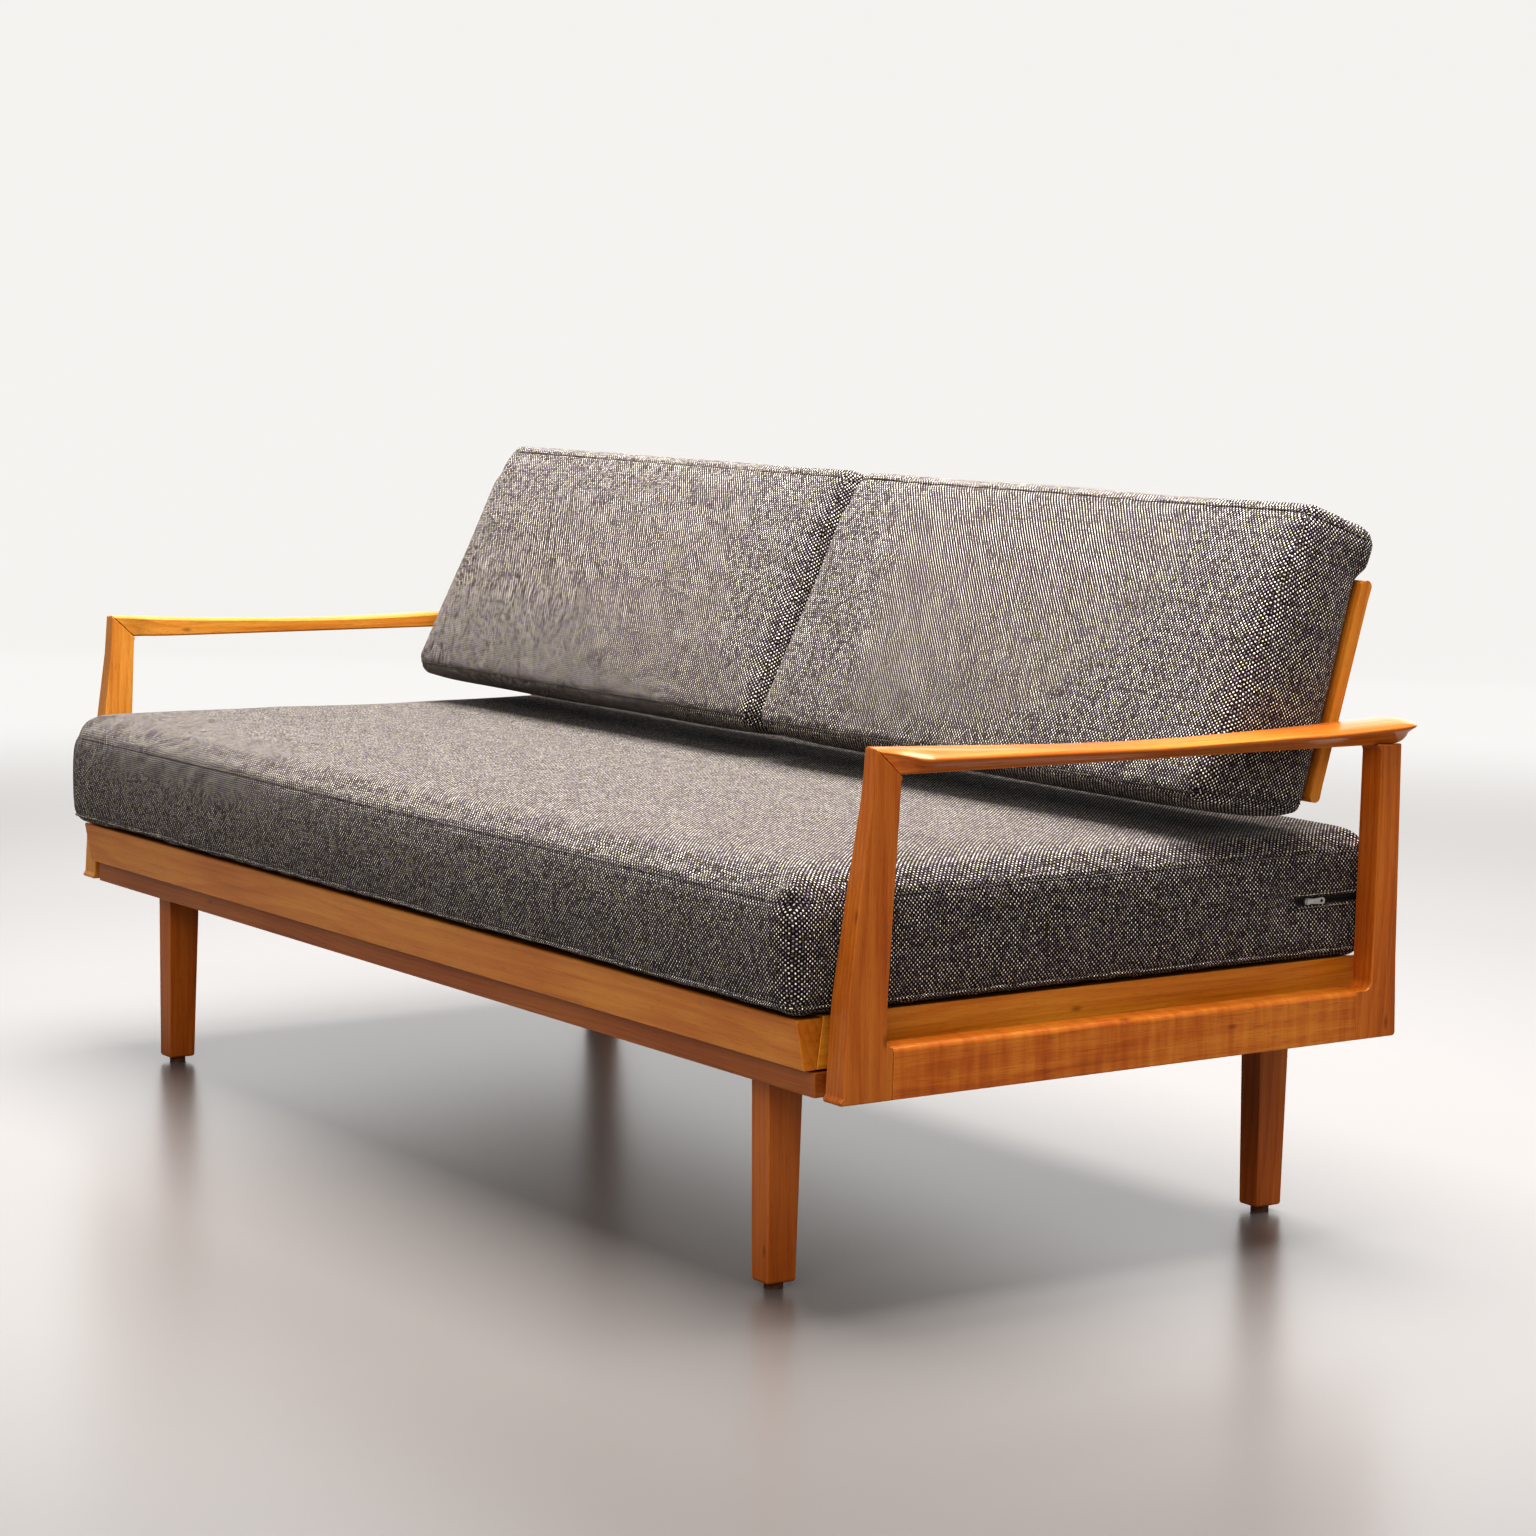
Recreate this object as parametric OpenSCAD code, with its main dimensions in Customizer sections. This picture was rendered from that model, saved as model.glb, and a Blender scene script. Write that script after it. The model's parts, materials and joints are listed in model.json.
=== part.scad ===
// Pull-out daybed: a wooden base with two sculpted arm frames, a sliding seat frame with a foam
// mattress, and a tilting backrest frame that carries two wedge cushions.
// The origin is on the floor below the middle of the whole, +Z is up and the front faces -Y.

/* [Overall] */
// Width over the outer faces of the two arm frames
arm_span = 1940; // [1740:10:2140]
// Height of the base rails' and the arm frames' underside above the floor
base_z = 247; // [200:1:300]
// How far the arm frames' middle lies behind the origin
arm_mid_y = 13; // [0:1:30]
// Depth of an arm frame at its foot
arm_depth = 794; // [740:2:840]

/* [Arm frames] */
// Thickness of an arm frame's posts and lower rail
arm_t = 34; // [28:1:40]
// Thickness of the front post where it meets the armrest
post_top_t = 22; // [18:1:28]
// Height of the arm's lower rail
lower_rail_h = 58; // [50:1:70]
// Height of the armrest's underside at its front end
armrest_z = 598; // [560:1:640]
// How much lower the armrest's underside is at its back end
armrest_drop = 6; // [0:1:12]
// Radius of the fillets in the corners of the arm opening
corner_r = 9; // [4:1:14]
// How far the armrest's outer edge stands out past the post
flare = 16; // [6:1:24]

/* [Base] */
// Half length of the front and rear base rails
base_half = 918; // [820:1:1020]
// Thickness of the base rails
base_rail_h = 28; // [22:1:34]
// Depth of the front and rear base rails
base_rail_d = 88; // [60:1:110]
// Width of a base end rail
base_end_w = 60; // [40:1:80]
// Distance from the middle of the base to each leg's outer side
leg_x = 784; // [600:1:860]
// Width of a leg at its top
leg_top_w = 36; // [30:1:60]
// Width of a leg at its foot
leg_foot_w = 33; // [24:1:40]
// Depth of a leg at its top
leg_top_d = 46; // [40:1:60]
// Depth of a leg at its foot
leg_foot_d = 38; // [30:1:50]
// Distance from the origin to the outer side of the front legs
leg_front_y = 352; // [320:1:380]
// Distance from the origin to the outer side of the rear legs
leg_rear_y = 409; // [350:1:410]
// Height of the round glides below the legs
glide_h = 8; // [4:1:12]
// Radius of the round glides
glide_r = 11; // [8:0.5:15]

/* [Seat] */
// Half length of the seat frame
seat_half = 916; // [820:1:1020]
// Height of the seat rails' top edge above the floor
seat_z = 336; // [310:1:360]
// Thickness of the seat's side and rear rails
seat_rail_t = 30; // [20:1:36]
// Width of a slat
slat_w = 58; // [40:1:80]
// Thickness of a slat
slat_t = 18; // [12:1:22]
// Number of slats
slat_count = 8; // [5:1:8]
// Distance from the middle to each outer runner
runner_x = 600; // [400:5:700]
// Width of a runner
runner_w = 40; // [30:1:50]
// How far the seat pulls out
pull_out = 220; // [120:5:240]

/* [Mattress] */
// Half length of the mattress
mattress_half = 928; // [820:1:928]
// Distance of the mattress's front edge from the origin
mattress_front = 428; // [410:1:440]
// Distance of the mattress's rear edge from the origin
mattress_rear = 406; // [340:1:408]
// Thickness of the mattress
mattress_h = 140; // [100:1:160]
// Radius of the mattress's rounded edges
mattress_r = 26; // [10:1:40]
// Height of the zip on the right-hand end above the floor
zip_z = 409; // [380:1:440]
// Distance of the zip's front end from the origin
zip_start_y = 296; // [250:1:300]
// Length of the zip on the end face
zip_len = 80; // [40:1:80]

/* [Backrest] */
// Lean of the backrest from upright, in degrees
lean = 16.5; // [10:0.5:24]
// Distance of the backrest pivots behind the origin
pivot_y = 341; // [320:1:350]
// Height of the backrest pivots above the floor
pivot_z = 605; // [600:1:610]
// Radius of the pivot pins
pivot_r = 4; // [3:0.5:5]
// Thickness of the backrest frame
back_t = 15; // [12:1:18]
// How far the stiles reach above the pivots
stile_up = 181; // [140:1:200]
// How far the stiles reach below the pivots
stile_down = 86; // [60:1:92]
// Distance from the middle to a stile's outer face
stile_x = 920; // [820:1:924]
// Width of a stile
stile_w = 56; // [40:1:70]
// Height of a backrest rail
back_rail_h = 44; // [30:1:60]

/* [Cushions] */
// Gap between the two cushions
cushion_gap = 4; // [2:1:20]
// Distance from the middle to a cushion's outer end
cushion_end = 922; // [820:1:925]
// Radius of the cushions' rounded edges
cushion_r = 17; // [8:1:30]

/* [Hidden] */

// Clearance between wood that only rests or slides, and around pins that turn
slide_gap = 0.5;
running_gap = 0.05;
eps = 0.01;

// Arm frames: the outer and inner planes, and the y of the foot's front and back
arm_out = arm_span / 2;
arm_in = arm_out - arm_t;
arm_front = arm_mid_y - arm_depth / 2 - 2.5;
arm_back = arm_mid_y + arm_depth / 2 - 2;
arm_top = armrest_z + 42;
lower_rail_z = base_z + lower_rail_h;
joint_front_y = arm_mid_y - 330;
joint_rear_y = arm_mid_y + 333;
mitre_top = [arm_mid_y - 357.5, armrest_z + 30.5];
mitre_centre = [arm_mid_y - 315, armrest_z - corner_r];
mitre_in = mitre_centre + corner_r * [cos(135), sin(135)];
armrest_front = mitre_top[0];
armrest_tip = 428;
rest_inner = arm_in - 2;

// Base: rails, legs and bolts
base_top = base_z + base_rail_h;
base_front = arm_mid_y - arm_depth / 2;
base_back = arm_mid_y + arm_depth / 2;
bolt_r = 4;
bolt_hole_r = 4.2;
bolt_head_r = 7;
bolt_head_h = 4;
leg_bolt_len = 54;
arm_bolt_y = [arm_mid_y - 240, arm_mid_y, arm_mid_y + 240];
arm_bolt_z = base_z + base_rail_h / 2;
dowel_r = 5;
dowel_len = 40;

// Seat: the wedge-shaped front rail leans out at its top
front_rail_top = [-407, seat_z - 2];
front_rail_foot = [-397, base_top + 2];
front_rail_foot_d = 17;
front_rail_top_d = 35;
seat_rear_y = mattress_rear - 4;
runner_z = base_top + slide_gap;
slat_z = seat_z - slat_t;
side_in = seat_half - seat_rail_t;
slat_first_y = -366;
slat_last_y = seat_rear_y - seat_rail_t - slat_w - 4;
screw_r = 2.5;
screw_len = 34;
stop_w = 30;
stop_h = base_rail_h - 4;
guide_w = 18;
guide_top = base_top + 18;

// Mattress and zip
mattress_z = seat_z + 1;

// Backrest: its own frame has its origin on the pivot axis, z up the slope and -y to the front
stile_in = stile_x - stile_w;
top_rail_z = stile_up - back_rail_h - 10;
bottom_rail_z = -stile_down + 14;
back_pitch = (top_rail_z - bottom_rail_z) / 3;
back_inset = 1;
pin_len = 84;
pin_grip = 22;
spacer_r = 9;

// Points of an arc round a centre, from one angle to another
function arc(centre, r, a0, a1, n = 8) =
    [for (i = [0:n]) centre + r * [cos(a0 + (a1 - a0) * i / n), sin(a0 + (a1 - a0) * i / n)]];

// Smooth step from 0 to 1 as v runs from a to b
function ramp(v, a, b) =
    let (t = max(0, min(1, (v - a) / (b - a))))
    t * t * (3 - 2 * t);

// Extrudes an outline drawn in (y, z) along +X from x0 to x1
module along_x(x0, x1) {
    translate([x0, 0, 0])
        rotate([90, 0, 90])
            linear_extrude(height = x1 - x0)
                children();
}

// Extrudes an outline drawn in (x, z) along +Y from y0 to y1
module along_y(y0, y1) {
    translate([0, y1, 0])
        rotate([90, 0, 0])
            linear_extrude(height = y1 - y0)
                children();
}

// A rod along +X that starts at p
module rod_x(p, r, length) {
    translate(p)
        rotate([0, 90, 0])
            cylinder(r = r, h = length, $fn = 32);
}

// Puts a right-hand part on the chosen side: 1 is right, -1 is left
module on_side(side) {
    if (side > 0)
        children();
    else
        mirror([1, 0, 0])
            children();
}

// ---------------------------------------------------------------- base

module base_rail(y0, y1) {
    difference() {
        translate([-base_half, y0, base_z])
            cube([2 * base_half, y1 - y0, base_rail_h]);
        leg_bolt_shafts(bolt_hole_r);
    }
}

module base_front_rail() {
    color("peru")
        base_rail(base_front, base_front + base_rail_d);
}

module base_rear_rail() {
    color("peru")
        base_rail(base_back - base_rail_d, base_back);
}

// The end rails lie between the two long rails and reach out to the arm frames
module base_end_rail(side) {
    color("peru")
        on_side(side)
            difference() {
                translate([arm_in - base_end_w, base_front + base_rail_d, base_z])
                    cube([base_end_w, arm_depth - 2 * base_rail_d, base_rail_h]);
                for (y = arm_bolt_y)
                    rod_x([arm_in - base_end_w - 1, y, arm_bolt_z], bolt_hole_r, base_end_w + 2);
            }
}

module base_centre_rail() {
    centre_w = 70;
    color("peru")
        translate([-centre_w / 2, base_front + base_rail_d, base_z])
            cube([centre_w, arm_depth - 2 * base_rail_d, base_rail_h]);
}

// A cleat beside each outer runner keeps the seat square as it slides
module slide_guide(side) {
    guide_x = runner_x + runner_w / 2 + slide_gap;
    guide_z = base_z + 2;
    color("burlywood")
        on_side(side)
            translate([guide_x, base_front + base_rail_d, guide_z])
                cube([guide_w, arm_depth - 2 * base_rail_d, guide_top - guide_z]);
}

// ---------------------------------------------------------------- legs

// A leg whose outer and front sides are upright; the other two taper towards the foot
module leg_shape() {
    chamfer = 2;
    intersection() {
        along_y(0, leg_top_d)
            polygon([
                [-leg_foot_w + chamfer, glide_h], [-chamfer, glide_h], [0, glide_h + chamfer],
                [0, base_z], [-leg_top_w, base_z], [-leg_foot_w, glide_h + chamfer],
            ]);
        along_x(-leg_top_w, 0)
            polygon([
                [chamfer, glide_h], [leg_foot_d - chamfer, glide_h],
                [leg_foot_d, glide_h + chamfer], [leg_top_d, base_z], [0, base_z],
                [0, glide_h + chamfer],
            ]);
    }
}

// Puts a leg-sized thing on one corner; front is 1 for the front legs and -1 for the rear ones
module at_leg(side, front) {
    on_side(side)
        translate([leg_x, front > 0 ? -leg_front_y : leg_rear_y - leg_top_d, 0])
            children();
}

module leg(side, front) {
    color("sienna")
        difference() {
            at_leg(side, front)
                leg_shape();
            leg_bolt_shafts(bolt_hole_r);
        }
}

module at_each_leg() {
    for (side = [-1, 1], front = [-1, 1])
        at_leg(side, front)
            children();
}

module leg_glides() {
    color("saddlebrown")
        at_each_leg()
            translate([-leg_foot_w / 2, leg_foot_d / 2, 0])
                cylinder(r = glide_r, h = glide_h, $fn = 48);
}

module leg_bolt_shafts(r) {
    at_each_leg()
        translate([-leg_top_w / 2, leg_top_d / 2, base_z - leg_bolt_len + 20])
            cylinder(r = r, h = leg_bolt_len, $fn = 24);
}

module leg_bolts() {
    color("silver")
        leg_bolt_shafts(bolt_r);
}

// ---------------------------------------------------------------- arm frames

// Side outline of the front post, from its foot up to the mitre with the armrest
front_post_outline = concat(
    arc([arm_front + 4, base_z + 4], 4, 180, 270, 4),
    [[joint_front_y, base_z], [joint_front_y, lower_rail_z]],
    arc([joint_front_y, lower_rail_z + corner_r], corner_r, 270, 180),
    [[arm_mid_y - 338, base_z + 110], [arm_mid_y - 325, armrest_z - 26]],
    arc(mitre_centre, corner_r, 180, 135, 4),
    [mitre_top, [arm_mid_y - 361.5, armrest_z - 24], [arm_mid_y - 376, armrest_z - 128],
     [arm_mid_y - 389.5, base_z + 115], [arm_mid_y - 396, base_z + 8]]
);

// Side outline of the rear post, from its foot up to the armrest's underside
rear_post_top = armrest_z - armrest_drop;
rear_post_outline = concat(
    [[joint_rear_y, base_z]],
    arc([arm_back - 4, base_z + 4], 4, 270, 360, 4),
    [[arm_mid_y + 393, base_z + 93], [arm_mid_y + 393, rear_post_top]],
    arc([arm_mid_y + 352, rear_post_top - corner_r - 1], corner_r + 1, 90, 0),
    [[arm_mid_y + 356, lower_rail_z + 20]],
    arc([arm_mid_y + 346, lower_rail_z + corner_r + 1], corner_r + 1, 0, -90),
    [[joint_rear_y, lower_rail_z]]
);

// Front view of the front post: its inner face leans out towards the armrest
module front_post_taper() {
    polygon([
        [arm_in, base_z - 1], [arm_out, base_z - 1], [arm_out, arm_top],
        [arm_out - post_top_t, arm_top], [arm_out - post_top_t, armrest_z],
        [arm_in, base_z + 90],
    ]);
}

module arm_front_post(side) {
    color("chocolate")
        on_side(side)
            difference() {
                intersection() {
                    along_x(arm_in, arm_out)
                        polygon(front_post_outline);
                    along_y(arm_front - 1, joint_front_y + 30)
                        front_post_taper();
                }
                arm_dowel_pair(dowel_r);
            }
}

module arm_rear_post(side) {
    color("chocolate")
        on_side(side)
            difference() {
                along_x(arm_in, arm_out)
                    polygon(rear_post_outline);
                arm_dowel_pair(dowel_r);
            }
}

module arm_lower_rail(side) {
    ledge_r = 7;
    color("peru")
        on_side(side)
            difference() {
                along_y(joint_front_y, joint_rear_y)
                    polygon(concat(
                        [[arm_in, base_z]],
                        arc([arm_out - 2, base_z + 2], 2, 270, 360, 3),
                        arc([arm_out - ledge_r, lower_rail_z - ledge_r], ledge_r, 0, 90),
                        [[arm_in, lower_rail_z]]
                    ));
                arm_dowel_pair(dowel_r);
                for (y = arm_bolt_y)
                    rod_x([arm_in - 1, y, arm_bolt_z], bolt_hole_r, 21);
            }
}

// Dowels along Y that join the lower rail to its two posts, and one up into the armrest
module arm_dowel_pair(r) {
    dowel_x = arm_in + arm_t / 2;
    for (y = [joint_front_y, joint_rear_y], z = [base_z + 16, base_z + 40])
        translate([dowel_x, y - dowel_len / 2, z])
            rotate([-90, 0, 0])
                cylinder(r = r, h = dowel_len, $fn = 24);
    translate([dowel_x, arm_mid_y + 376, rear_post_top - dowel_len / 2 - 5])
        cylinder(r = r, h = dowel_len / 2 + 15, $fn = 24);
}

module arm_dowels() {
    color("tan")
        for (side = [-1, 1])
            on_side(side)
                arm_dowel_pair(dowel_r);
}

module arm_bolts() {
    color("silver")
        for (side = [-1, 1])
            on_side(side)
                for (y = arm_bolt_y) {
                    rod_x([arm_in - base_end_w - eps, y, arm_bolt_z], bolt_r, base_end_w + 19);
                    rod_x([arm_in - base_end_w - bolt_head_h, y, arm_bolt_z], bolt_head_r, bolt_head_h);
                }
}

// ---------------------------------------------------------------- armrests

// Height of the armrest's inner top edge: it dips in the middle of its length
function rest_top(y) =
    armrest_z + 15
    + 16 * pow(max(0, (50 - y) / (50 - armrest_front)), 1.6)
    + 8.5 * pow(max(0, (y - 100) / (armrest_tip - 100)), 1.5);

// The rear end closes in a quarter-round over its last stretch
rest_nose = 34;
function nose(y) = let (t = max(0, (y - armrest_tip + rest_nose) / rest_nose)) sqrt(max(0, 1 - t * t));
function rest_mid(y) = rest_top(y) - 9;
function rest_bottom(y) =
    let (z = armrest_z - armrest_drop * min(1, max(0, (y + 300) / 650)))
    rest_mid(y) + (z - rest_mid(y)) * nose(y);
function rest_in(y) =
    let (front_x = arm_out - post_top_t)
    front_x + (rest_inner - front_x) * ramp(y, armrest_front, armrest_front + 110)
    + 22 * (1 - nose(y));
function rest_out(y) =
    let (x = arm_out + flare * ramp(y, armrest_front + 14, armrest_front + 72))
    x - 20 * (1 - nose(y));
function rest_foot(y) = arm_out - 4 - 14 * (1 - nose(y));
function edge_drop(y) =
    3 + 7 * (1 - ramp(y, armrest_front, -100)) * ramp(y, armrest_front, armrest_front + 60)
    + 3 * ramp(y, 200, 300);
function rest_shear(y) = (mitre_in[0] - mitre_top[0]) / (mitre_top[1] - mitre_in[1])
    * (1 - ramp(y, armrest_front, armrest_front + 70));

// One section of the armrest in (x, z), from the inner bottom corner round to the outer one
function rest_section(y) =
    let (
        zt = rest_mid(y) + 9 * nose(y),
        zb = rest_bottom(y),
        xi = rest_in(y),
        xo = rest_out(y),
        xf = rest_foot(y),
        out = ramp(y, armrest_front + 6, armrest_front + 60),
        ze = zt - edge_drop(y) * nose(y),
        lip = 5 * nose(y)
    )
    [
        [xi + 2, zb], [xi, zb + 2 * nose(y)], [xi, zt - 3 * nose(y)], [xi + 3, zt],
        [xi + 0.35 * (xo - xi), zt + 0.6 * out], [xi + 0.65 * (xo - xi), zt - 0.2 * (zt - ze)],
        [xo - 4, ze + 1.5 * nose(y)], [xo - 1, ze - 0.8 * nose(y)], [xo, ze - 0.5 * lip],
        [xo - 1, ze - lip],
        [xo - 5 * out - 0.2, ze - lip - 2.5 * nose(y)],
        [xf + (xo - xf) * 0.25 + 2 * (1 - out), zb + 0.45 * (ze - lip - zb)],
        [xf + 3 - 3 * out * 0.4, zb + 2 * nose(y)], [xf, zb],
    ];

rest_ys = concat(
    [for (i = [0:12]) armrest_front + i * 7],
    [for (i = [1:16]) armrest_front + 84 + i * (armrest_tip - rest_nose - armrest_front - 84) / 16],
    [for (i = [1:8]) armrest_tip - rest_nose + rest_nose * sin(i * 11.2)]
);

module armrest_loft() {
    ring = 14;
    rows = len(rest_ys);
    points = [
        for (y = rest_ys)
            let (section = rest_section(y), zt = rest_top(y))
            for (p = section) [p[0], y + rest_shear(y) * (zt - p[1]), p[1]]
    ];
    sides = [
        for (i = [0:rows - 2], j = [0:ring - 1])
            let (a = i * ring + j, b = i * ring + (j + 1) % ring)
            [a, b, b + ring, a + ring]
    ];
    front_cap = [for (j = [ring - 1:-1:0]) j];
    rear_cap = [for (j = [0:ring - 1]) (rows - 1) * ring + j];
    polyhedron(points = points, faces = concat([front_cap], sides, [rear_cap]), convexity = 4);
}

module armrest(side) {
    color("chocolate")
        on_side(side)
            difference() {
                armrest_loft();
                rod_x([arm_in - 20, pivot_y, pivot_z], pivot_r, pin_grip + 20);
                translate([arm_in + arm_t / 2, arm_mid_y + 376, rear_post_top - 1])
                    cylinder(r = dowel_r, h = 11, $fn = 24);
            }
}

module backrest_pivots() {
    color("silver")
        for (side = [-1, 1])
            on_side(side)
                rod_x([arm_in - pin_len + pin_grip, pivot_y, pivot_z], pivot_r, pin_len);
}

// A spacer on each pivot pin fills the gap between the armrest and the backrest
module backrest_spacers() {
    spacer_x = stile_x + slide_gap;
    spacer_t = rest_inner - spacer_x;
    color("gainsboro")
        for (side = [-1, 1])
            on_side(side)
                difference() {
                    rod_x([spacer_x, pivot_y, pivot_z], spacer_r, spacer_t);
                    rod_x([spacer_x - 1, pivot_y, pivot_z], pivot_r, spacer_t + 2);
                }
}

// ---------------------------------------------------------------- seat frame

// How far forward the sloping back of the front rail lies at a height
function front_rail_back(z) =
    let (
        foot = front_rail_foot + [front_rail_foot_d, 0],
        top = front_rail_top + [front_rail_top_d, 0]
    )
    foot[0] + (top[0] - foot[0]) * (z - foot[1]) / (top[1] - foot[1]) + eps;

module seat_front_rail() {
    color("burlywood")
        along_x(-seat_half, seat_half)
            polygon([
                front_rail_foot + [1.5, 0], front_rail_foot + [front_rail_foot_d, 0],
                front_rail_top + [front_rail_top_d, 0], front_rail_top + [2, 0],
                front_rail_top + [0, -2], front_rail_foot + [0, 1.5],
            ]);
}

// The rear rail clears the slide guides as the seat comes forward
module seat_rear_rail() {
    foot = guide_top + 2;
    color("burlywood")
        translate([-side_in, seat_rear_y - seat_rail_t, foot])
            cube([2 * side_in, seat_rail_t, seat_z - foot]);
}

// A side rail meets the sloping back of the front rail with a slanted end
module seat_side_rail(side) {
    foot = runner_z + 2;
    front_top_y = front_rail_back(front_rail_top[1]);
    color("burlywood")
        on_side(side)
            along_x(side_in, seat_half)
                polygon([
                    [front_rail_back(foot), foot], [seat_rear_y, foot], [seat_rear_y, seat_z],
                    [front_top_y + 0.6, seat_z], [front_top_y, front_rail_top[1]],
                ]);
}

module runner_at(x) {
    front_y = front_rail_top[0] + front_rail_top_d + 4;
    translate([x - runner_w / 2, front_y, runner_z])
        cube([runner_w, seat_rear_y - seat_rail_t - front_y, slat_z - runner_z]);
}

module seat_runner(side) {
    color("tan")
        difference() {
            runner_at(side * runner_x);
            screw_shafts(screw_r);
        }
}

module seat_centre_runner() {
    color("tan")
        difference() {
            runner_at(0);
            screw_shafts(screw_r);
        }
}

// Blocks below the outer runners meet the front base rail when the seat is pulled right out
module seat_stop_blocks() {
    stop_y = base_front + base_rail_d + pull_out + 1;
    color("saddlebrown")
        for (side = [-1, 1])
            translate([side * runner_x - stop_w / 2, stop_y, runner_z - stop_h])
                cube([stop_w, 24, stop_h]);
}

function slat_y(i) = slat_first_y + i * (slat_last_y - slat_first_y) / (slat_count - 1);

module seat_slat(i) {
    color("wheat")
        difference() {
            translate([-side_in + 1, slat_y(i), slat_z])
                cube([2 * side_in - 2, slat_w, slat_t]);
            screw_shafts(screw_r);
        }
}

module screw_shafts(r) {
    for (x = [-runner_x, 0, runner_x], i = [0:slat_count - 1])
        translate([x, slat_y(i) + slat_w / 2, seat_z - screw_len])
            cylinder(r = r, h = screw_len - 1, $fn = 16);
}

module slat_screws() {
    color("goldenrod")
        screw_shafts(screw_r);
}

// ---------------------------------------------------------------- mattress and zip

// Outline of a rectangle with rounded corners
function round_rect(low, high, r) = concat(
    arc([high[0] - r, high[1] - r], r, 0, 90),
    arc([low[0] + r, high[1] - r], r, 90, 180),
    arc([low[0] + r, low[1] + r], r, 180, 270),
    arc([high[0] - r, low[1] + r], r, 270, 360)
);

// A boxed foam mattress with rounded edges: the same box seen from the top, front and side
module mattress() {
    half = mattress_half;
    y0 = -mattress_front;
    y1 = mattress_rear;
    z0 = mattress_z;
    z1 = mattress_z + mattress_h;
    color("dimgray")
        intersection() {
            translate([0, 0, z0])
                linear_extrude(height = mattress_h)
                    polygon(round_rect([-half, y0], [half, y1], mattress_r));
            along_y(y0, y1)
                polygon(round_rect([-half, z0], [half, z1], mattress_r));
            along_x(-half, half)
                polygon(round_rect([y0, z0], [y1, z1], mattress_r));
        }
}

module zip_tape() {
    tape_h = 22;
    tape_t = 0.8;
    color("black")
        translate([mattress_half, zip_start_y - 4, zip_z - tape_h / 2])
            cube([tape_t, zip_len, tape_h]);
}

slider_x = mattress_half + 1.2;
slider_t = 3;
zip_pin_r = 0.4;
zip_pin = [slider_x + slider_t + 1.4, zip_start_y + 3.5, zip_z];

// A rod along Z with its middle at p
module rod_z(p, r, length) {
    translate(p)
        cylinder(r = r, h = length, center = true, $fn = 32);
}

// The slider is a small body with two cheeks and a pin between them that carries the pull
module zip_slider() {
    cheek = [2.4, 3, 1];
    cheek_z = 2.6;
    color("silver") {
        along_x(slider_x, slider_x + slider_t)
            polygon(concat(
                arc([zip_start_y + 4, zip_z], 4, 90, 270, 10),
                [[zip_start_y + 13, zip_z - 3], [zip_start_y + 13, zip_z + 3]]
            ));
        for (side = [-1, 1])
            translate([
                slider_x + slider_t - eps, zip_pin[1] - cheek[1] / 2,
                zip_z + (side > 0 ? cheek_z : -cheek_z - cheek[2]),
            ])
                cube(cheek);
        rod_z(zip_pin, zip_pin_r, 2 * (cheek_z + cheek[2] / 2));
    }
}

// The pull tab lies flat against the cover; its neck ends in a barrel that turns on the pin
module zip_pull() {
    pull_t = 1.4;
    neck = 2;
    y0 = zip_pin[1];
    color("silver")
        difference() {
            union() {
                rod_z(zip_pin, 1, 2 * neck);
                along_x(zip_pin[0] - pull_t / 2, zip_pin[0] + pull_t / 2)
                    difference() {
                        polygon(concat(
                            [
                                [y0 + 7, zip_z + 3], [y0 + 5, zip_z + neck], [y0, zip_z + neck],
                                [y0, zip_z - neck], [y0 + 5, zip_z - neck], [y0 + 7, zip_z - 3],
                            ],
                            arc([zip_start_y + 25, zip_z], 4, -90, 90, 10)
                        ));
                        translate([zip_start_y + 24, zip_z])
                            circle(r = 2, $fn = 20);
                    }
            }
            rod_z(zip_pin, zip_pin_r + running_gap, 3 * neck);
        }
}

// ---------------------------------------------------------------- backrest

// Leans the backrest's own frame back about the pivot axis
module leaning() {
    translate([0, pivot_y, pivot_z])
        rotate([-lean, 0, 0])
            children();
}

// Side outline of a bar with fully rounded ends, from z0 to z1
module bar_outline(z0, z1, t) {
    translate([-t / 2, z0 + t / 2])
        square([t, z1 - z0 - t]);
    for (z = [z0 + t / 2, z1 - t / 2])
        translate([0, z])
            circle(r = t / 2, $fn = 32);
}

module stile_bar(x0, x1) {
    along_x(x0, x1)
        bar_outline(-stile_down, stile_up, back_t);
}

module backrest_stile(side) {
    color("peru")
        on_side(side)
            leaning()
                difference() {
                    stile_bar(stile_in, stile_x);
                    rod_x([stile_in - 1, 0, 0], pivot_r + running_gap, stile_w + 2);
                }
}

module backrest_stile_centre() {
    mid_w = 40;
    color("peru")
        leaning()
            translate([-mid_w / 2, -back_t / 2 + back_inset, bottom_rail_z + back_rail_h])
                cube([mid_w, back_t - 2 * back_inset, top_rail_z - bottom_rail_z - back_rail_h]);
}

module back_rail(x0, x1, z) {
    color("peru")
        leaning()
            translate([x0, -back_t / 2 + back_inset, z])
                cube([x1 - x0, back_t - 2 * back_inset, back_rail_h]);
}

module backrest_top_rail() {
    back_rail(-stile_in, stile_in, top_rail_z);
}

module backrest_bottom_rail() {
    back_rail(-stile_in, stile_in, bottom_rail_z);
}

module backrest_slat(side, row) {
    mid_half = 20;
    if (side > 0)
        back_rail(mid_half, stile_in, bottom_rail_z + row * back_pitch);
    else
        back_rail(-stile_in, -mid_half, bottom_rail_z + row * back_pitch);
}

// ---------------------------------------------------------------- cushions

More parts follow.
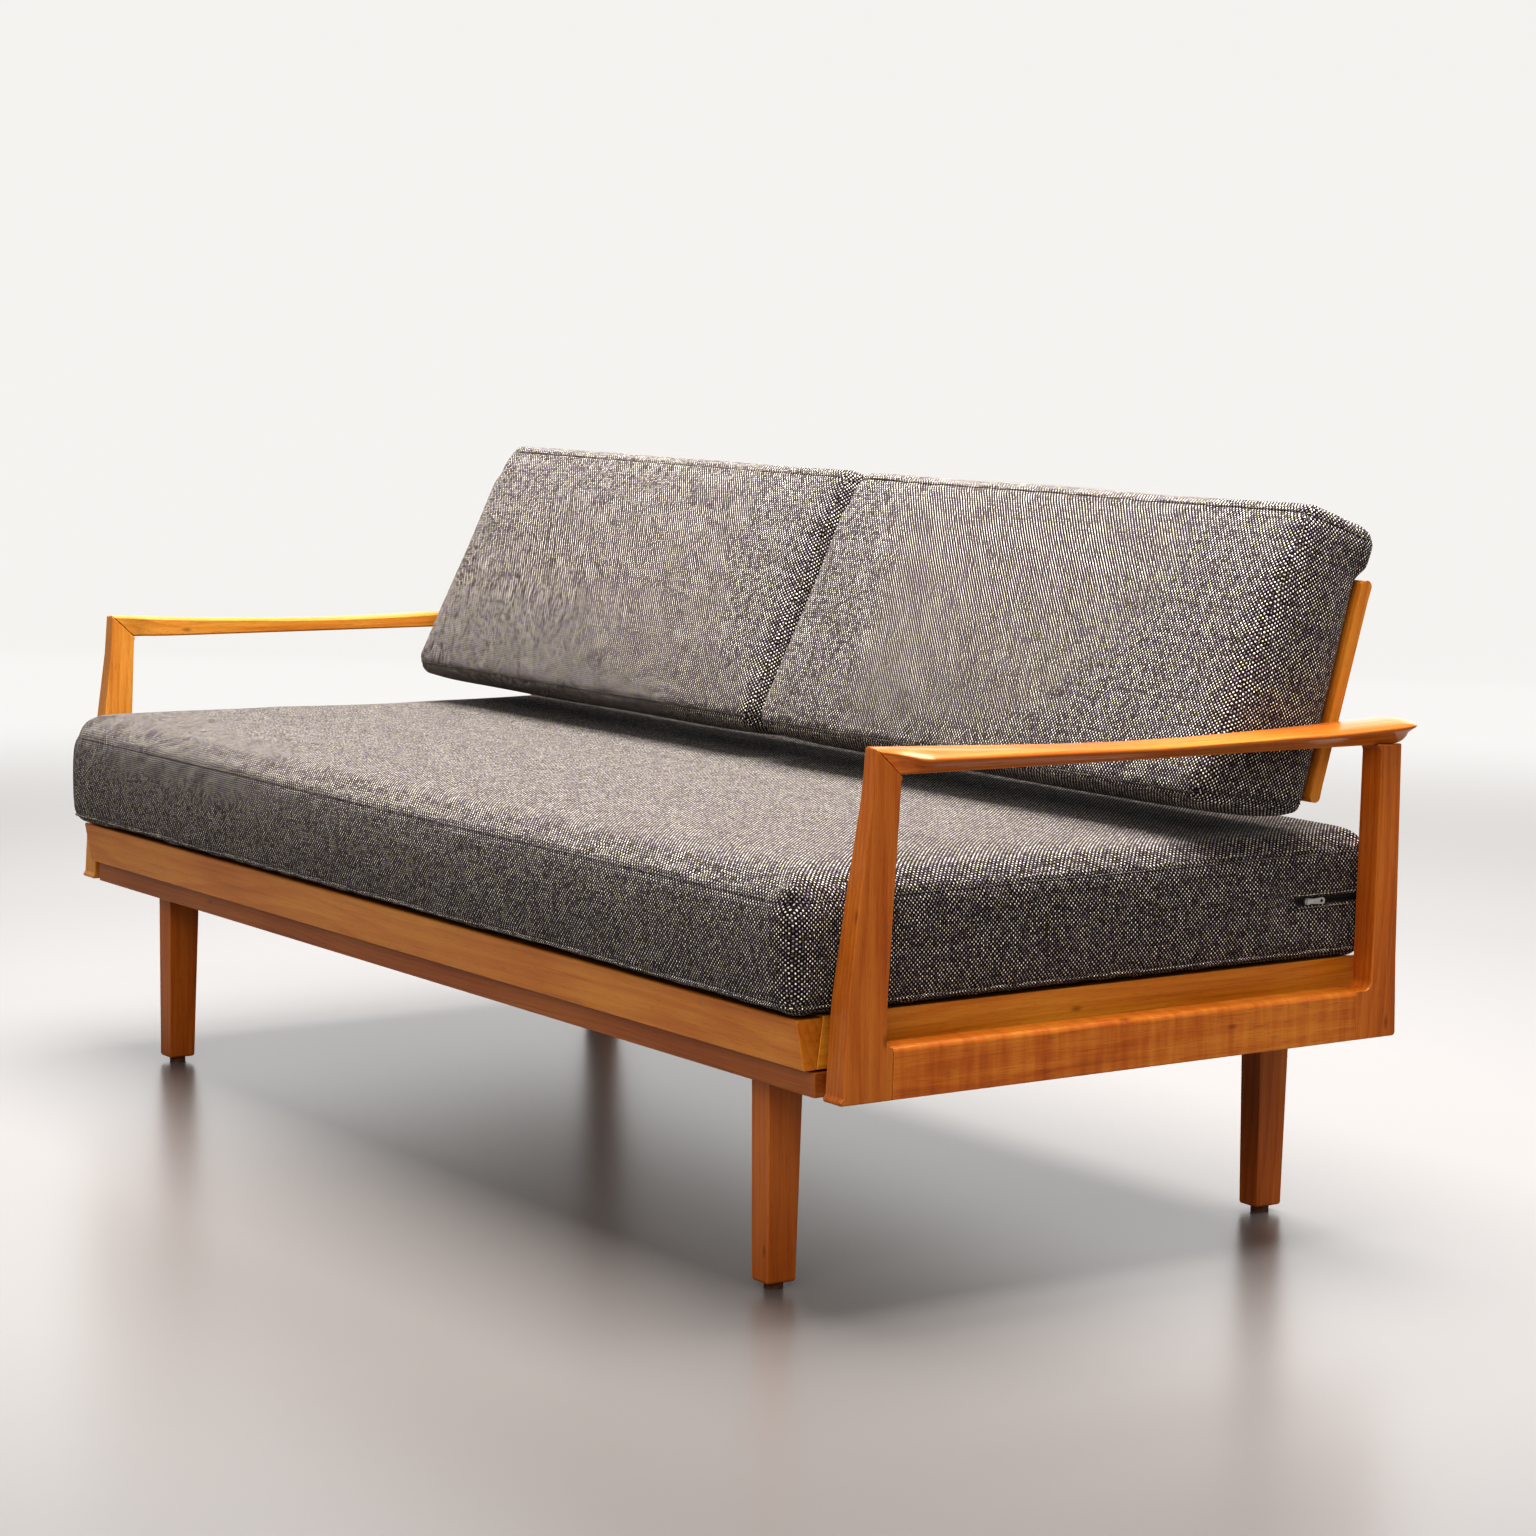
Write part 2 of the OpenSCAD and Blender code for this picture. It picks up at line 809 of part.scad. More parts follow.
// Corners of a cushion in the backrest's own (y, z): wedge-shaped, thicker at its foot
cushion_back_y = -back_t / 2 - slide_gap;
cushion_corners = [
    [cushion_back_y, -107],
    [cushion_back_y - 160, -131],
    [cushion_back_y - 98, 243],
    [cushion_back_y, 236],
];

// The unit step from a corner to the middle of the rounding sphere that fits in it
function inset(i) =
    let (
        p = cushion_corners[i],
        a = cushion_corners[(i + 1) % 4] - p,
        b = cushion_corners[(i + 3) % 4] - p,
        u = a / norm(a),
        v = b / norm(b),
        s = norm(cross([u[0], u[1], 0], [v[0], v[1], 0]))
    )
    p + (u + v) * cushion_r / s;

module cushion(side) {
    color("dimgray")
        on_side(side)
            leaning()
                hull()
                    for (i = [0:3], x = [cushion_gap / 2 + cushion_r, cushion_end - cushion_r])
                        translate([x, inset(i)[0], inset(i)[1]])
                            sphere(r = cushion_r, $fn = 24);
}

// ---------------------------------------------------------------- nodes

base_front_rail();
base_rear_rail();
base_end_rail(-1);  // base_end_rail_left
base_end_rail(1);  // base_end_rail_right
base_centre_rail();
slide_guide(-1);  // slide_guide_left
slide_guide(1);  // slide_guide_right
leg(-1, 1);  // leg_front_left
leg(1, 1);  // leg_front_right
leg(-1, -1);  // leg_rear_left
leg(1, -1);  // leg_rear_right
leg_glides();
leg_bolts();
arm_front_post(-1);  // arm_front_post_left
arm_front_post(1);  // arm_front_post_right
arm_rear_post(-1);  // arm_rear_post_left
arm_rear_post(1);  // arm_rear_post_right
arm_lower_rail(-1);  // arm_lower_rail_left
arm_lower_rail(1);  // arm_lower_rail_right
armrest(-1);  // armrest_left
armrest(1);  // armrest_right
arm_dowels();
arm_bolts();
backrest_pivots();
backrest_spacers();
seat_front_rail();
seat_rear_rail();
seat_side_rail(-1);  // seat_side_rail_left
seat_side_rail(1);  // seat_side_rail_right
seat_runner(-1);  // seat_runner_left
seat_runner(1);  // seat_runner_right
seat_centre_runner();
seat_stop_blocks();
for (i = [1:slat_count])
    seat_slat(i - 1);
slat_screws();
mattress();
zip_tape();
zip_slider();
zip_pull();
backrest_stile(-1);  // backrest_stile_left
backrest_stile(1);  // backrest_stile_right
backrest_stile_centre();
backrest_top_rail();
backrest_bottom_rail();
backrest_slat(-1, 2);  // backrest_slat_left_upper
backrest_slat(-1, 1);  // backrest_slat_left_lower
backrest_slat(1, 2);  // backrest_slat_right_upper
backrest_slat(1, 1);  // backrest_slat_right_lower
cushion(-1);  // cushion_left
cushion(1);  // cushion_right
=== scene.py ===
"""Looks of the pull-out daybed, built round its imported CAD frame.

Metres, +Z up, the front faces -Y and the daybed's own right side is at +X.
"""

import json
import math

import bmesh
import bpy
import numpy as np
from mathutils import Matrix, Vector
from mathutils.bvhtree import BVHTree


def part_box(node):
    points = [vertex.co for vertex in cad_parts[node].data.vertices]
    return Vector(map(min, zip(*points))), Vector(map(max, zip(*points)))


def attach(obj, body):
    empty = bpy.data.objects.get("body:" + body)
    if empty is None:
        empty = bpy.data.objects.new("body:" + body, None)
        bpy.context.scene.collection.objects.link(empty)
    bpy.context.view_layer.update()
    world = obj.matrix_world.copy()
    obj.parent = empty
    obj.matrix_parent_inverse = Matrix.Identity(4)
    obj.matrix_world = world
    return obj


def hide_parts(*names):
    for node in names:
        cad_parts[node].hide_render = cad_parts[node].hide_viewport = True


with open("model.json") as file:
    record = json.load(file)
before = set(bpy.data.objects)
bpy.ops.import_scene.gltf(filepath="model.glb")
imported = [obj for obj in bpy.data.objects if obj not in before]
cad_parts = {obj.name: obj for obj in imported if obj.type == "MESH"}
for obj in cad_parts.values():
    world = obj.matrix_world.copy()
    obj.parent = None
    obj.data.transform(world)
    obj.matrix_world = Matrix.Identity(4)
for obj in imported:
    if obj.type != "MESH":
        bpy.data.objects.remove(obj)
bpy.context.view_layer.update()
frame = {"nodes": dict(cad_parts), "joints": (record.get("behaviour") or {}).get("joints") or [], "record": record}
record = frame["record"]
scene = bpy.context.scene
BODY_OF = {
    node: body for body, nodes in record["behaviour"]["bodies"].items() for node in nodes
}
SLOT_OF = {part["node"]: part["material_slot"] for part in record["subparts"]}
MM = 0.001
WELD = 0.01 * MM

# ---------------------------------------------------------------- camera

# The photograph's viewing point and direction, in metres and degrees, and its lens
CAMERA_PLACE = Vector((4.3577, -2.7623, 1.1089))
CAMERA_YAW, CAMERA_PITCH, CAMERA_ROLL = 56.0647, -6.8798, 0.5246
LENS_MM = 92.84


def make_camera():
    """Yaw is from +Y towards -X, pitch is upwards and roll is about the line of sight."""
    yaw, pitch, roll = (math.radians(a) for a in (CAMERA_YAW, CAMERA_PITCH, CAMERA_ROLL))
    forward = Vector((
        -math.sin(yaw) * math.cos(pitch), math.cos(yaw) * math.cos(pitch), math.sin(pitch)
    ))
    level = Vector((math.cos(yaw), math.sin(yaw), 0))
    upright = level.cross(forward)
    right = math.cos(roll) * level + math.sin(roll) * upright
    up = math.cos(roll) * upright - math.sin(roll) * level
    camera = bpy.data.objects.new("camera", bpy.data.cameras.new("camera"))
    scene.collection.objects.link(camera)
    camera.data.lens = LENS_MM
    camera.data.sensor_width = 36
    camera.data.clip_end = 100
    camera.matrix_world = Matrix((
        (right.x, up.x, -forward.x, CAMERA_PLACE.x),
        (right.y, up.y, -forward.y, CAMERA_PLACE.y),
        (right.z, up.z, -forward.z, CAMERA_PLACE.z),
        (0, 0, 0, 1),
    ))
    scene.camera = camera


make_camera()

# ---------------------------------------------------------------- node helpers


class Shade:
    """A material's node tree, with short calls for the nodes that the materials below use."""

    def __init__(self, name):
        self.material = bpy.data.materials.new(name)
        self.material.use_nodes = True
        self.tree = self.material.node_tree
        self.nodes = self.tree.nodes
        self.surface = self.nodes["Principled BSDF"]

    def put(self, socket, value):
        if isinstance(value, bpy.types.NodeSocket):
            self.tree.links.new(value, socket)
        elif value is not None:
            socket.default_value = value

    def node(self, kind, inputs=(), **settings):
        made = self.nodes.new("ShaderNode" + kind)
        for key, value in settings.items():
            setattr(made, key, value)
        for socket, value in dict(inputs).items():
            self.put(made.inputs[socket], value)
        return made

    def math(self, operation, *values, clamp=False):
        return self.node(
            "Math", enumerate(values), operation=operation, use_clamp=clamp
        ).outputs[0]

    def add(self, a, b):
        return self.math("ADD", a, b)

    def mul(self, a, b):
        return self.math("MULTIPLY", a, b)

    def vector(self, x, y, z):
        return self.node("CombineXYZ", enumerate((x, y, z))).outputs[0]

    def split(self, v):
        return self.node("SeparateXYZ", {0: v}).outputs

    def noise(self, v, detail=2.0, roughness=0.5, distortion=0.0):
        return self.node("TexNoise", {
            "Vector": v, "Scale": 1.0, "Detail": detail, "Roughness": roughness,
            "Distortion": distortion,
        }).outputs[0]

    def random(self, v):
        return self.node("TexWhiteNoise", {"Vector": v}, noise_dimensions="3D").outputs[0]

    def remap(self, value, low, high, to_low=0.0, to_high=1.0):
        return self.node("MapRange", {
            "Value": value, "From Min": low, "From Max": high, "To Min": to_low, "To Max": to_high,
        }).outputs[0]

    def ramp(self, value, stops, interpolation="LINEAR"):
        made = self.node("ValToRGB", {0: value})
        ramp = made.color_ramp
        ramp.interpolation = interpolation
        while len(ramp.elements) < len(stops):
            ramp.elements.new(0.5)
        for element, (place, colour) in zip(ramp.elements, stops):
            element.position = place
            element.color = (*colour, 1)
        return made.outputs[0]

    def blend(self, factor, a, b, mode="MIX"):
        def colour(c):
            return (*c, 1) if isinstance(c, tuple) and len(c) == 3 else c

        return self.node(
            "Mix", {0: factor, 6: colour(a), 7: colour(b)}, data_type="RGBA", blend_type=mode
        ).outputs[2]

    def choose(self, factor, a, b):
        return self.node("Mix", {0: factor, 2: a, 3: b}, data_type="FLOAT").outputs[0]

    def bump(self, height, distance, strength=1.0):
        return self.node("Bump", {
            "Strength": strength, "Distance": distance, "Height": height,
        }).outputs[0]

    def finish(self, **inputs):
        for key, value in inputs.items():
            self.put(self.surface.inputs[key.replace("_", " ")], value)
        return self.material


def object_place(s):
    return s.node("TexCoord").outputs["Object"]


def leaned(s, v, angle):
    """The vector in the axes of something that leans back by an angle."""
    return s.node("VectorRotate", {"Vector": v, "Angle": angle}, rotation_type="X_AXIS").outputs[0]


# ---------------------------------------------------------------- wood

# Grey along a growth ring, from its start to its end
RING_GREYS = [(place, (grey,) * 3) for place, grey in (
    (0.0, 0.35), (0.12, 0.9), (0.6, 0.7), (0.93, 0.15), (1.0, 0.35)
)]
# Width of the paler band along edges, which is partly wear and partly a painted highlight
EDGE_WEAR_AND_HIGHLIGHT = 2.2 * MM
GRAIN_RELIEF = 0.12 * MM


def wood(
    name, along, dark, mid, light, seed=0.0, rings=0.0065, curl=0.0, lean=0.0, gloss=0.30,
    flecks=0.5, coat=0.24, specular=0.35,
):
    """Lacquered fruitwood whose grain runs along one axis: growth rings cut by the board's faces,
    fine fibres, pores, a few small knots, curl across the grain and paler edges, partly wear and
    partly a painted highlight. Rings is the width of a growth ring, and lean is the tilt of a
    board that leans back."""
    s = Shade(name)
    place = object_place(s)
    if lean:
        place = leaned(s, place, lean)
    x, y, z = s.split(place)
    a, b, g = {"X": (y, z, x), "Y": (x, z, y), "Z": (x, y, z)}[along]
    a, b, g = s.add(a, seed * 0.37), s.add(b, seed * 0.21), s.add(g, seed * 1.7)

    def grain(across, length, detail=2.0, roughness=0.5, shift=0.0):
        v = s.vector(s.mul(a, across), s.add(s.mul(b, across), shift), s.mul(g, length))
        return s.noise(v, detail, roughness)

    wander = s.add(s.mul(grain(9, 1.6, 1.0), 0.05), s.mul(grain(60, 6, 2.0, shift=5.0), 0.004))
    # The rings are round a pith that lies outside the board
    from_pith_a, from_pith_b = s.add(a, 0.061), s.add(b, -0.083)
    radius = s.math("SQRT", s.add(s.mul(from_pith_a, from_pith_a), s.mul(from_pith_b, from_pith_b)))
    phase = s.math("FRACT", s.mul(s.add(radius, wander), 1 / rings))
    ring = s.ramp(phase, RING_GREYS)
    fibre = grain(620, 14, 3.0, 0.65)
    streak = grain(120, 3.0, 2.0, 0.6, shift=2.0)
    blotch = grain(9, 4.0, 2.0, 0.5, shift=7.0)
    broad = s.add(s.mul(streak, 0.30), s.mul(blotch, 0.50))
    tone = s.add(s.mul(ring, 0.13), s.add(s.mul(fibre, 0.30), broad))
    if curl:
        wave = s.noise(s.vector(s.mul(a, 14), s.mul(b, 9), s.mul(g, 75)), 2.0, 0.55)
        tone = s.add(tone, s.mul(s.add(wave, -0.5), curl))
    colour = s.ramp(s.remap(tone, 0.30, 0.90), [(0.0, dark), (0.45, mid), (1.0, light)])
    pores = s.remap(grain(1500, 55, 1.0, 0.5, shift=3.0), 0.64, 0.74)
    knots = s.node("TexVoronoi", {
        "Vector": s.vector(s.mul(a, 22), s.mul(b, 22), s.mul(g, 9)),
        "Scale": 1.0, "Randomness": 1.0,
    }).outputs["Distance"]
    knots = s.remap(s.add(knots, s.mul(fibre, 0.12)), 0.15, 0.09)
    deep = tuple(c * 0.35 for c in dark)
    colour = s.blend(s.mul(pores, 0.45), colour, deep)
    colour = s.blend(s.mul(knots, flecks), colour, deep)
    # Paler along edges, hollow ones as well: partly wear, partly a painted highlight for the bright lines that
    # light draws along eased edges
    normal = s.node("NewGeometry").outputs["Normal"]
    soft = s.node("Bevel", {"Radius": EDGE_WEAR_AND_HIGHLIGHT}, samples=4).outputs[0]
    flat = s.node("VectorMath", {0: normal, 1: soft}, operation="DOT_PRODUCT").outputs["Value"]
    edge = s.mul(s.remap(flat, 0.985, 0.85), s.remap(grain(40, 12, 2.0, shift=9.0), 0.35, 0.65))
    worn_and_highlit = tuple(min(1.0, c * 1.45 + 0.03) for c in light)
    colour = s.blend(s.mul(edge, 0.45), colour, worn_and_highlit)
    rough = s.add(gloss, s.add(s.mul(s.add(streak, -0.5), 0.16), s.mul(edge, 0.12)))
    height = s.add(s.mul(fibre, 0.5), s.add(s.mul(pores, -0.8), s.mul(streak, 0.5)))
    return s.finish(
        Base_Color=colour, Roughness=rough, Normal=s.bump(height, GRAIN_RELIEF, 0.55),
        Coat_Weight=coat, Coat_Roughness=0.15, Specular_IOR_Level=specular,
    )


# Dark, middle and light tones of the wood, which differs a little from board to board. The
# darkest set, for the base's long rails, is partly painted shade: these rails stand recessed in
# shadow under the seat frame.
ARM = ((0.27, 0.062, 0.008), (0.47, 0.135, 0.016), (0.66, 0.27, 0.042))
ARM_GOLD = ((0.33, 0.105, 0.020), (0.54, 0.215, 0.038), (0.74, 0.40, 0.095))
ARM_WARM = ((0.30, 0.080, 0.012), (0.50, 0.168, 0.026), (0.70, 0.32, 0.065))
ARM_TOP = ((0.29, 0.062, 0.008), (0.48, 0.132, 0.017), (0.67, 0.27, 0.048))
ARM_POST = ((0.23, 0.050, 0.006), (0.40, 0.110, 0.013), (0.58, 0.23, 0.036))
RAIL = ((0.32, 0.088, 0.009), (0.56, 0.195, 0.022), (0.74, 0.36, 0.060))
SIDE = ((0.38, 0.115, 0.010), (0.66, 0.250, 0.026), (0.86, 0.46, 0.075))
BASE_SHADED = ((0.19, 0.046, 0.008), (0.33, 0.096, 0.016), (0.46, 0.18, 0.036))
LEG = ((0.25, 0.056, 0.007), (0.44, 0.122, 0.014), (0.60, 0.225, 0.034))
PALE = ((0.42, 0.27, 0.14), (0.60, 0.43, 0.25), (0.74, 0.58, 0.38))

# ---------------------------------------------------------------- pieces from CAD nodes


def body_and_slot(node):
    return BODY_OF[node], SLOT_OF[node]


def add_piece(name, mesh, body, slot, material, stands_for=()):
    ob = bpy.data.objects.new(name, mesh)
    scene.collection.objects.link(ob)
    mesh.materials.clear()
    mesh.materials.append(material)
    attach(ob, body)
    if stands_for:
        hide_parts(*stands_for)
    return ob


def shade(mesh, angle=40.0):
    mesh.shade_smooth()
    mesh.set_sharp_from_angle(angle=math.radians(angle))


def eased(node, material, radius=1.4 * MM, segments=3):
    """The node's own shape with its sharp edges eased, as sanding leaves them."""
    bm = bmesh.new()
    bm.from_mesh(frame["nodes"][node].data)
    bmesh.ops.remove_doubles(bm, verts=bm.verts, dist=WELD)
    bmesh.ops.dissolve_limit(bm, angle_limit=math.radians(0.6), verts=bm.verts, edges=bm.edges)
    shortest, least_angle = 1.45 * MM, math.radians(35)
    sharp = [
        e for e in bm.edges
        if len(e.link_faces) == 2 and e.calc_length() > shortest
        and e.calc_face_angle(0) > least_angle
    ]
    bmesh.ops.bevel(
        bm, geom=sharp, offset=radius, segments=segments, profile=0.5, affect="EDGES",
        clamp_overlap=False,
    )
    mesh = bpy.data.meshes.new(node + "_piece")
    bm.to_mesh(mesh)
    bm.free()
    shade(mesh)
    ob = add_piece(node + "_piece", mesh, *body_and_slot(node), material, [node])
    ob.modifiers.new("even_normals", "WEIGHTED_NORMAL").keep_sharp = True
    return ob


def keep(node, material):
    """The CAD node itself, with a finished material."""
    ob = frame["nodes"][node]
    ob.material_slots[0].link = "OBJECT"
    ob.material_slots[0].material = material


SIDES = ("left", "right")


# The left armrest's lacquer is duller than the right one's
MATT = {"coat": 0.02, "specular": 0.14, "gloss": 0.48}
GLOSSY = {"coat": 0.22}


def board(node, label, along, tones, seed, radius=1.4 * MM, segments=3, **grain):
    """One board or post of its own wood, with its edges eased."""
    eased(node, wood("wood_" + label, along, *tones, seed=seed, **grain), radius, segments)


def build_wood():
    # The base's long rails take the darkest tones, partly painted shade for their recess under the seat frame
    for i, node in enumerate(("base_front_rail", "base_rear_rail")):
        board(node, node, "X", BASE_SHADED, 1.3 + i, 1.6 * MM)
    board("base_centre_rail", "base_centre", "Y", LEG, 3.1)
    for i, side in enumerate(SIDES):
        left = side == "left"
        post, rear, rest = (ARM_GOLD, ARM_WARM, ARM_GOLD) if left else (ARM_POST, ARM, ARM_TOP)
        finish = MATT if left else GLOSSY
        board("base_end_rail_" + side, "base_end_" + side, "Y", LEG, 3.7 + i)
        board("slide_guide_" + side, "guide_" + side, "Y", PALE, 4.7 + i)
        for j, row in enumerate(("front", "rear")):
            leg = f"leg_{row}_{side}"
            board(leg, leg, "Z", LEG, 5.2 + 2 * i + j, 1.5 * MM, rings=0.009)
        board("arm_front_post_" + side, "front_post_" + side, "Z", post, 9.4 + i, 1.8 * MM)
        board("arm_rear_post_" + side, "rear_post_" + side, "Z", rear, 11.6 + i, 1.8 * MM)
        board(
            "arm_lower_rail_" + side, "lower_rail_" + side, "Y", rear, 13.9 + i, 1.2 * MM,
            rings=0.011, curl=0.55,
        )
        board(
            "armrest_" + side, "armrest_" + side, "Y", rest, 16.3 + i, 0.8 * MM, 2,
            rings=0.010, **finish,
        )
        board("seat_side_rail_" + side, "side_rail_" + side, "Y", SIDE, 18.8 + i, 1.2 * MM)
        board("seat_runner_" + side, "runner_" + side, "Y", PALE, 20.5 + i)
        board("backrest_stile_" + side, "stile_" + side, "Z", RAIL, 22.4 + i, 1.2 * MM, lean=LEAN)
        for j, row in enumerate(("lower", "upper")):
            slat = f"backrest_slat_{side}_{row}"
            board(slat, slat, "X", RAIL, 24.7 + 2 * i + j, lean=LEAN)
    board("seat_front_rail", "seat_front", "X", RAIL, 29.3, 1.6 * MM, rings=0.010)
    board("seat_rear_rail", "seat_rear", "X", RAIL, 30.1)
    board("seat_centre_runner", "centre_runner", "Y", PALE, 31.8)
    board("seat_stop_blocks", "stops", "X", PALE, 32.6)
    for i in range(1, 9):
        board(f"seat_slat_{i}", f"slat_{i}", "X", PALE, 33.0 + 1.1 * i, flecks=0.7)
    board("backrest_stile_centre", "stile_centre", "Z", RAIL, 43.2, lean=LEAN)
    board("backrest_top_rail", "back_top", "X", RAIL, 44.9, lean=LEAN)
    board("backrest_bottom_rail", "back_bottom", "X", RAIL, 46.1, lean=LEAN)
    keep("arm_dowels", wood("wood_dowels", "Z", *PALE, seed=48.0))


# The backrest's lean, from its cushions' joint, which slides up the frame
LIFT_AXIS = next(j for j in frame["joints"] if j["name"] == "cushion_right_lift")["axis"]
LEAN = math.atan2(LIFT_AXIS[1], LIFT_AXIS[2])
PIVOT = Vector(next(j for j in frame["joints"] if j["name"] == "backrest_tilt")["pos_m"])

build_wood()

# ---------------------------------------------------------------- metal and plastic


def metal(name, colour, roughness, brush=(400, 400, 30), scratches=0.5):
    """Plated steel or brass with fine brushed lines and a cloudy tone."""
    s = Shade(name)
    x, y, z = s.split(object_place(s))
    v = s.vector(s.mul(x, brush[0]), s.mul(y, brush[1]), s.mul(z, brush[2]))
    lines = s.noise(v, 3.0, 0.6)
    cloud = s.noise(s.vector(s.mul(x, 90), s.mul(y, 90), s.mul(z, 90)), 2.0)
    tone = s.blend(s.remap(cloud, 0.3, 0.7), tuple(c * 0.72 for c in colour), colour)
    rough = s.add(roughness, s.add(s.mul(s.add(lines, -0.5), 0.25), s.mul(s.add(cloud, -0.5), 0.2)))
    return s.finish(
        Base_Color=tone, Roughness=rough, Metallic=1.0, Normal=s.bump(lines, 0.05 * MM, scratches)
    )


def plastic(name, colour, roughness=0.5):
    """Finely grained plastic or thread with paler scuffs."""
    s = Shade(name)
    x, y, z = s.split(object_place(s))
    grain = s.noise(s.vector(s.mul(x, 1800), s.mul(y, 1800), s.mul(z, 1800)), 2.0)
    scuff = s.noise(s.vector(s.mul(x, 160), s.mul(y, 160), s.mul(z, 700)), 3.0, 0.6)
    tone = s.blend(s.remap(scuff, 0.5, 0.75), colour, tuple(c * 1.8 + 0.02 for c in colour))
    rough = s.add(roughness, s.mul(s.add(scuff, -0.5), 0.3))
    return s.finish(Base_Color=tone, Roughness=rough, Normal=s.bump(grain, 0.08 * MM, 0.5))


zinc = metal("zinc_plate", (0.62, 0.61, 0.58), 0.38)
brass = metal("brass_plate", (0.60, 0.42, 0.16), 0.34)
nickel = metal("nickel_plate", (0.92, 0.91, 0.89), 0.34, brush=(1500, 200, 1500))
glide_brown = plastic("glide_brown", (0.13, 0.055, 0.028))
for node in ("leg_bolts", "arm_bolts", "backrest_pivots", "backrest_spacers"):
    keep(node, zinc)
keep("slat_screws", brass)
keep("leg_glides", glide_brown)
for node in ("zip_slider", "zip_pull"):
    eased(node, nickel, 0.25 * MM, 2)

# ---------------------------------------------------------------- woven cover

# The weft's yarns change abruptly from pick to pick, the dark warp changes smoothly
YARNS = [
    (0.00, (0.78, 0.74, 0.66)), (0.26, (0.47, 0.43, 0.48)), (0.44, (0.60, 0.56, 0.52)),
    (0.60, (0.34, 0.29, 0.36)), (0.74, (0.53, 0.52, 0.32)), (0.86, (0.21, 0.18, 0.18)),
]
GROUND = [
    (0.0, (0.016, 0.011, 0.010)), (0.5, (0.034, 0.025, 0.024)), (0.85, (0.075, 0.057, 0.057)),
]
WEAVE_RELIEF = 0.7 * MM


def weave(name, lean=0.0, tone=1.0, pitch=2.7 * MM):
    """Coarse plain weave of dark warp and flecked weft, laid on the plane that each face is
    nearest to. Pitch is the distance between threads, and tone brightens the flecks."""
    s = Shade(name)
    coords = s.node("TexCoord")
    place, facing = coords.outputs["Object"], coords.outputs["Normal"]
    if lean:
        place, facing = (leaned(s, v, lean) for v in (place, facing))
    x, y, z = s.split(place)
    nx, ny, nz = (s.math("ABSOLUTE", n) for n in s.split(facing))
    on_top = s.math("GREATER_THAN", nz, s.math("MAXIMUM", nx, ny))
    on_end = s.mul(s.math("GREATER_THAN", nx, ny), s.math("SUBTRACT", 1.0, on_top))
    u, v = s.choose(on_end, x, y), s.choose(on_top, z, y)
    bend = s.noise(s.vector(s.mul(x, 26), s.mul(y, 26), s.mul(z, 26)), 1.0)
    u = s.add(u, s.mul(bend, 5.0 * MM))
    v = s.add(v, s.mul(bend, -4.0 * MM))
    column, row = s.mul(u, 1 / pitch), s.mul(v, 1 / pitch)
    ci, ri = s.math("FLOOR", column), s.math("FLOOR", row)
    weft_up = s.math("FLOORED_MODULO", s.add(ci, ri), 2.0)
    cu = s.math("SINE", s.mul(s.math("FRACT", column), math.pi))
    cv = s.math("SINE", s.mul(s.math("FRACT", row), math.pi))
    crown = s.math("POWER", s.mul(cu, cv), 0.6)
    dash = s.mul(cu, s.math("POWER", cv, 0.45))
    pick = s.random(s.vector(ci, ri, on_end))
    thread = s.random(s.vector(ri, 3.0, on_top))
    slub = s.noise(s.vector(s.mul(u, 190), s.mul(v, 24), s.mul(on_top, 7.0)), 2.0, 0.6)
    tuft = s.noise(s.vector(s.mul(u, 900), s.mul(v, 900), 0.0), 1.0)
    yarn = s.ramp(s.math("FRACT", s.add(s.mul(pick, 0.8), thread)), YARNS, "CONSTANT")
    warp = s.ramp(s.math("FRACT", s.add(pick, slub)), GROUND)
    glow = s.remap(s.add(slub, s.mul(s.add(tuft, -0.5), 0.4)), 0.25, 0.75, 0.5, 1.4)
    glow = s.mul(glow, tone)
    yarn = s.blend(1.0, yarn, s.vector(glow, glow, glow), "MULTIPLY")
    shown = s.mul(weft_up, s.remap(dash, 0.46, 0.74))
    colour = s.blend(shown, warp, yarn)
    gap = s.remap(crown, 0.0, 0.5, 0.3, 1.0)
    colour = s.blend(1.0, colour, s.vector(gap, gap, gap), "MULTIPLY")
    # Painted shade: the cover darkens towards near-black in its seam grooves and pinched corners, as the seam
    # attribute gives
    seam = s.node("Attribute", attribute_name="seam").outputs["Fac"]
    colour = s.blend(s.mul(seam, 0.30), colour, (0.012, 0.009, 0.008))
    height = s.add(s.mul(crown, s.choose(weft_up, 0.7, 1.0)), s.mul(tuft, 0.25))
    rough = s.remap(tuft, 0.3, 0.7, 0.82, 0.96)
    return s.finish(
        Base_Color=colour, Roughness=rough, Normal=s.bump(height, WEAVE_RELIEF, 0.8),
        Sheen_Weight=0.12, Sheen_Roughness=0.4, Sheen_Tint=(0.95, 0.9, 0.86, 1),
        Specular_IOR_Level=0.06,
    )


# ---------------------------------------------------------------- soft pieces


def points_of(mesh):
    co = np.empty(len(mesh.vertices) * 3)
    mesh.vertices.foreach_get("co", co)
    return co.reshape(-1, 3)


def normals_of(mesh):
    no = np.empty(len(mesh.vertices) * 3)
    mesh.vertex_normals.foreach_get("vector", no)
    return no.reshape(-1, 3)


def set_points(mesh, co):
    mesh.vertices.foreach_set("co", co.astype(np.float32).ravel())
    mesh.update()


def evaluated_copy(ob):
    dg = bpy.context.evaluated_depsgraph_get()
    return bpy.data.meshes.new_from_object(ob.evaluated_get(dg), depsgraph=dg)


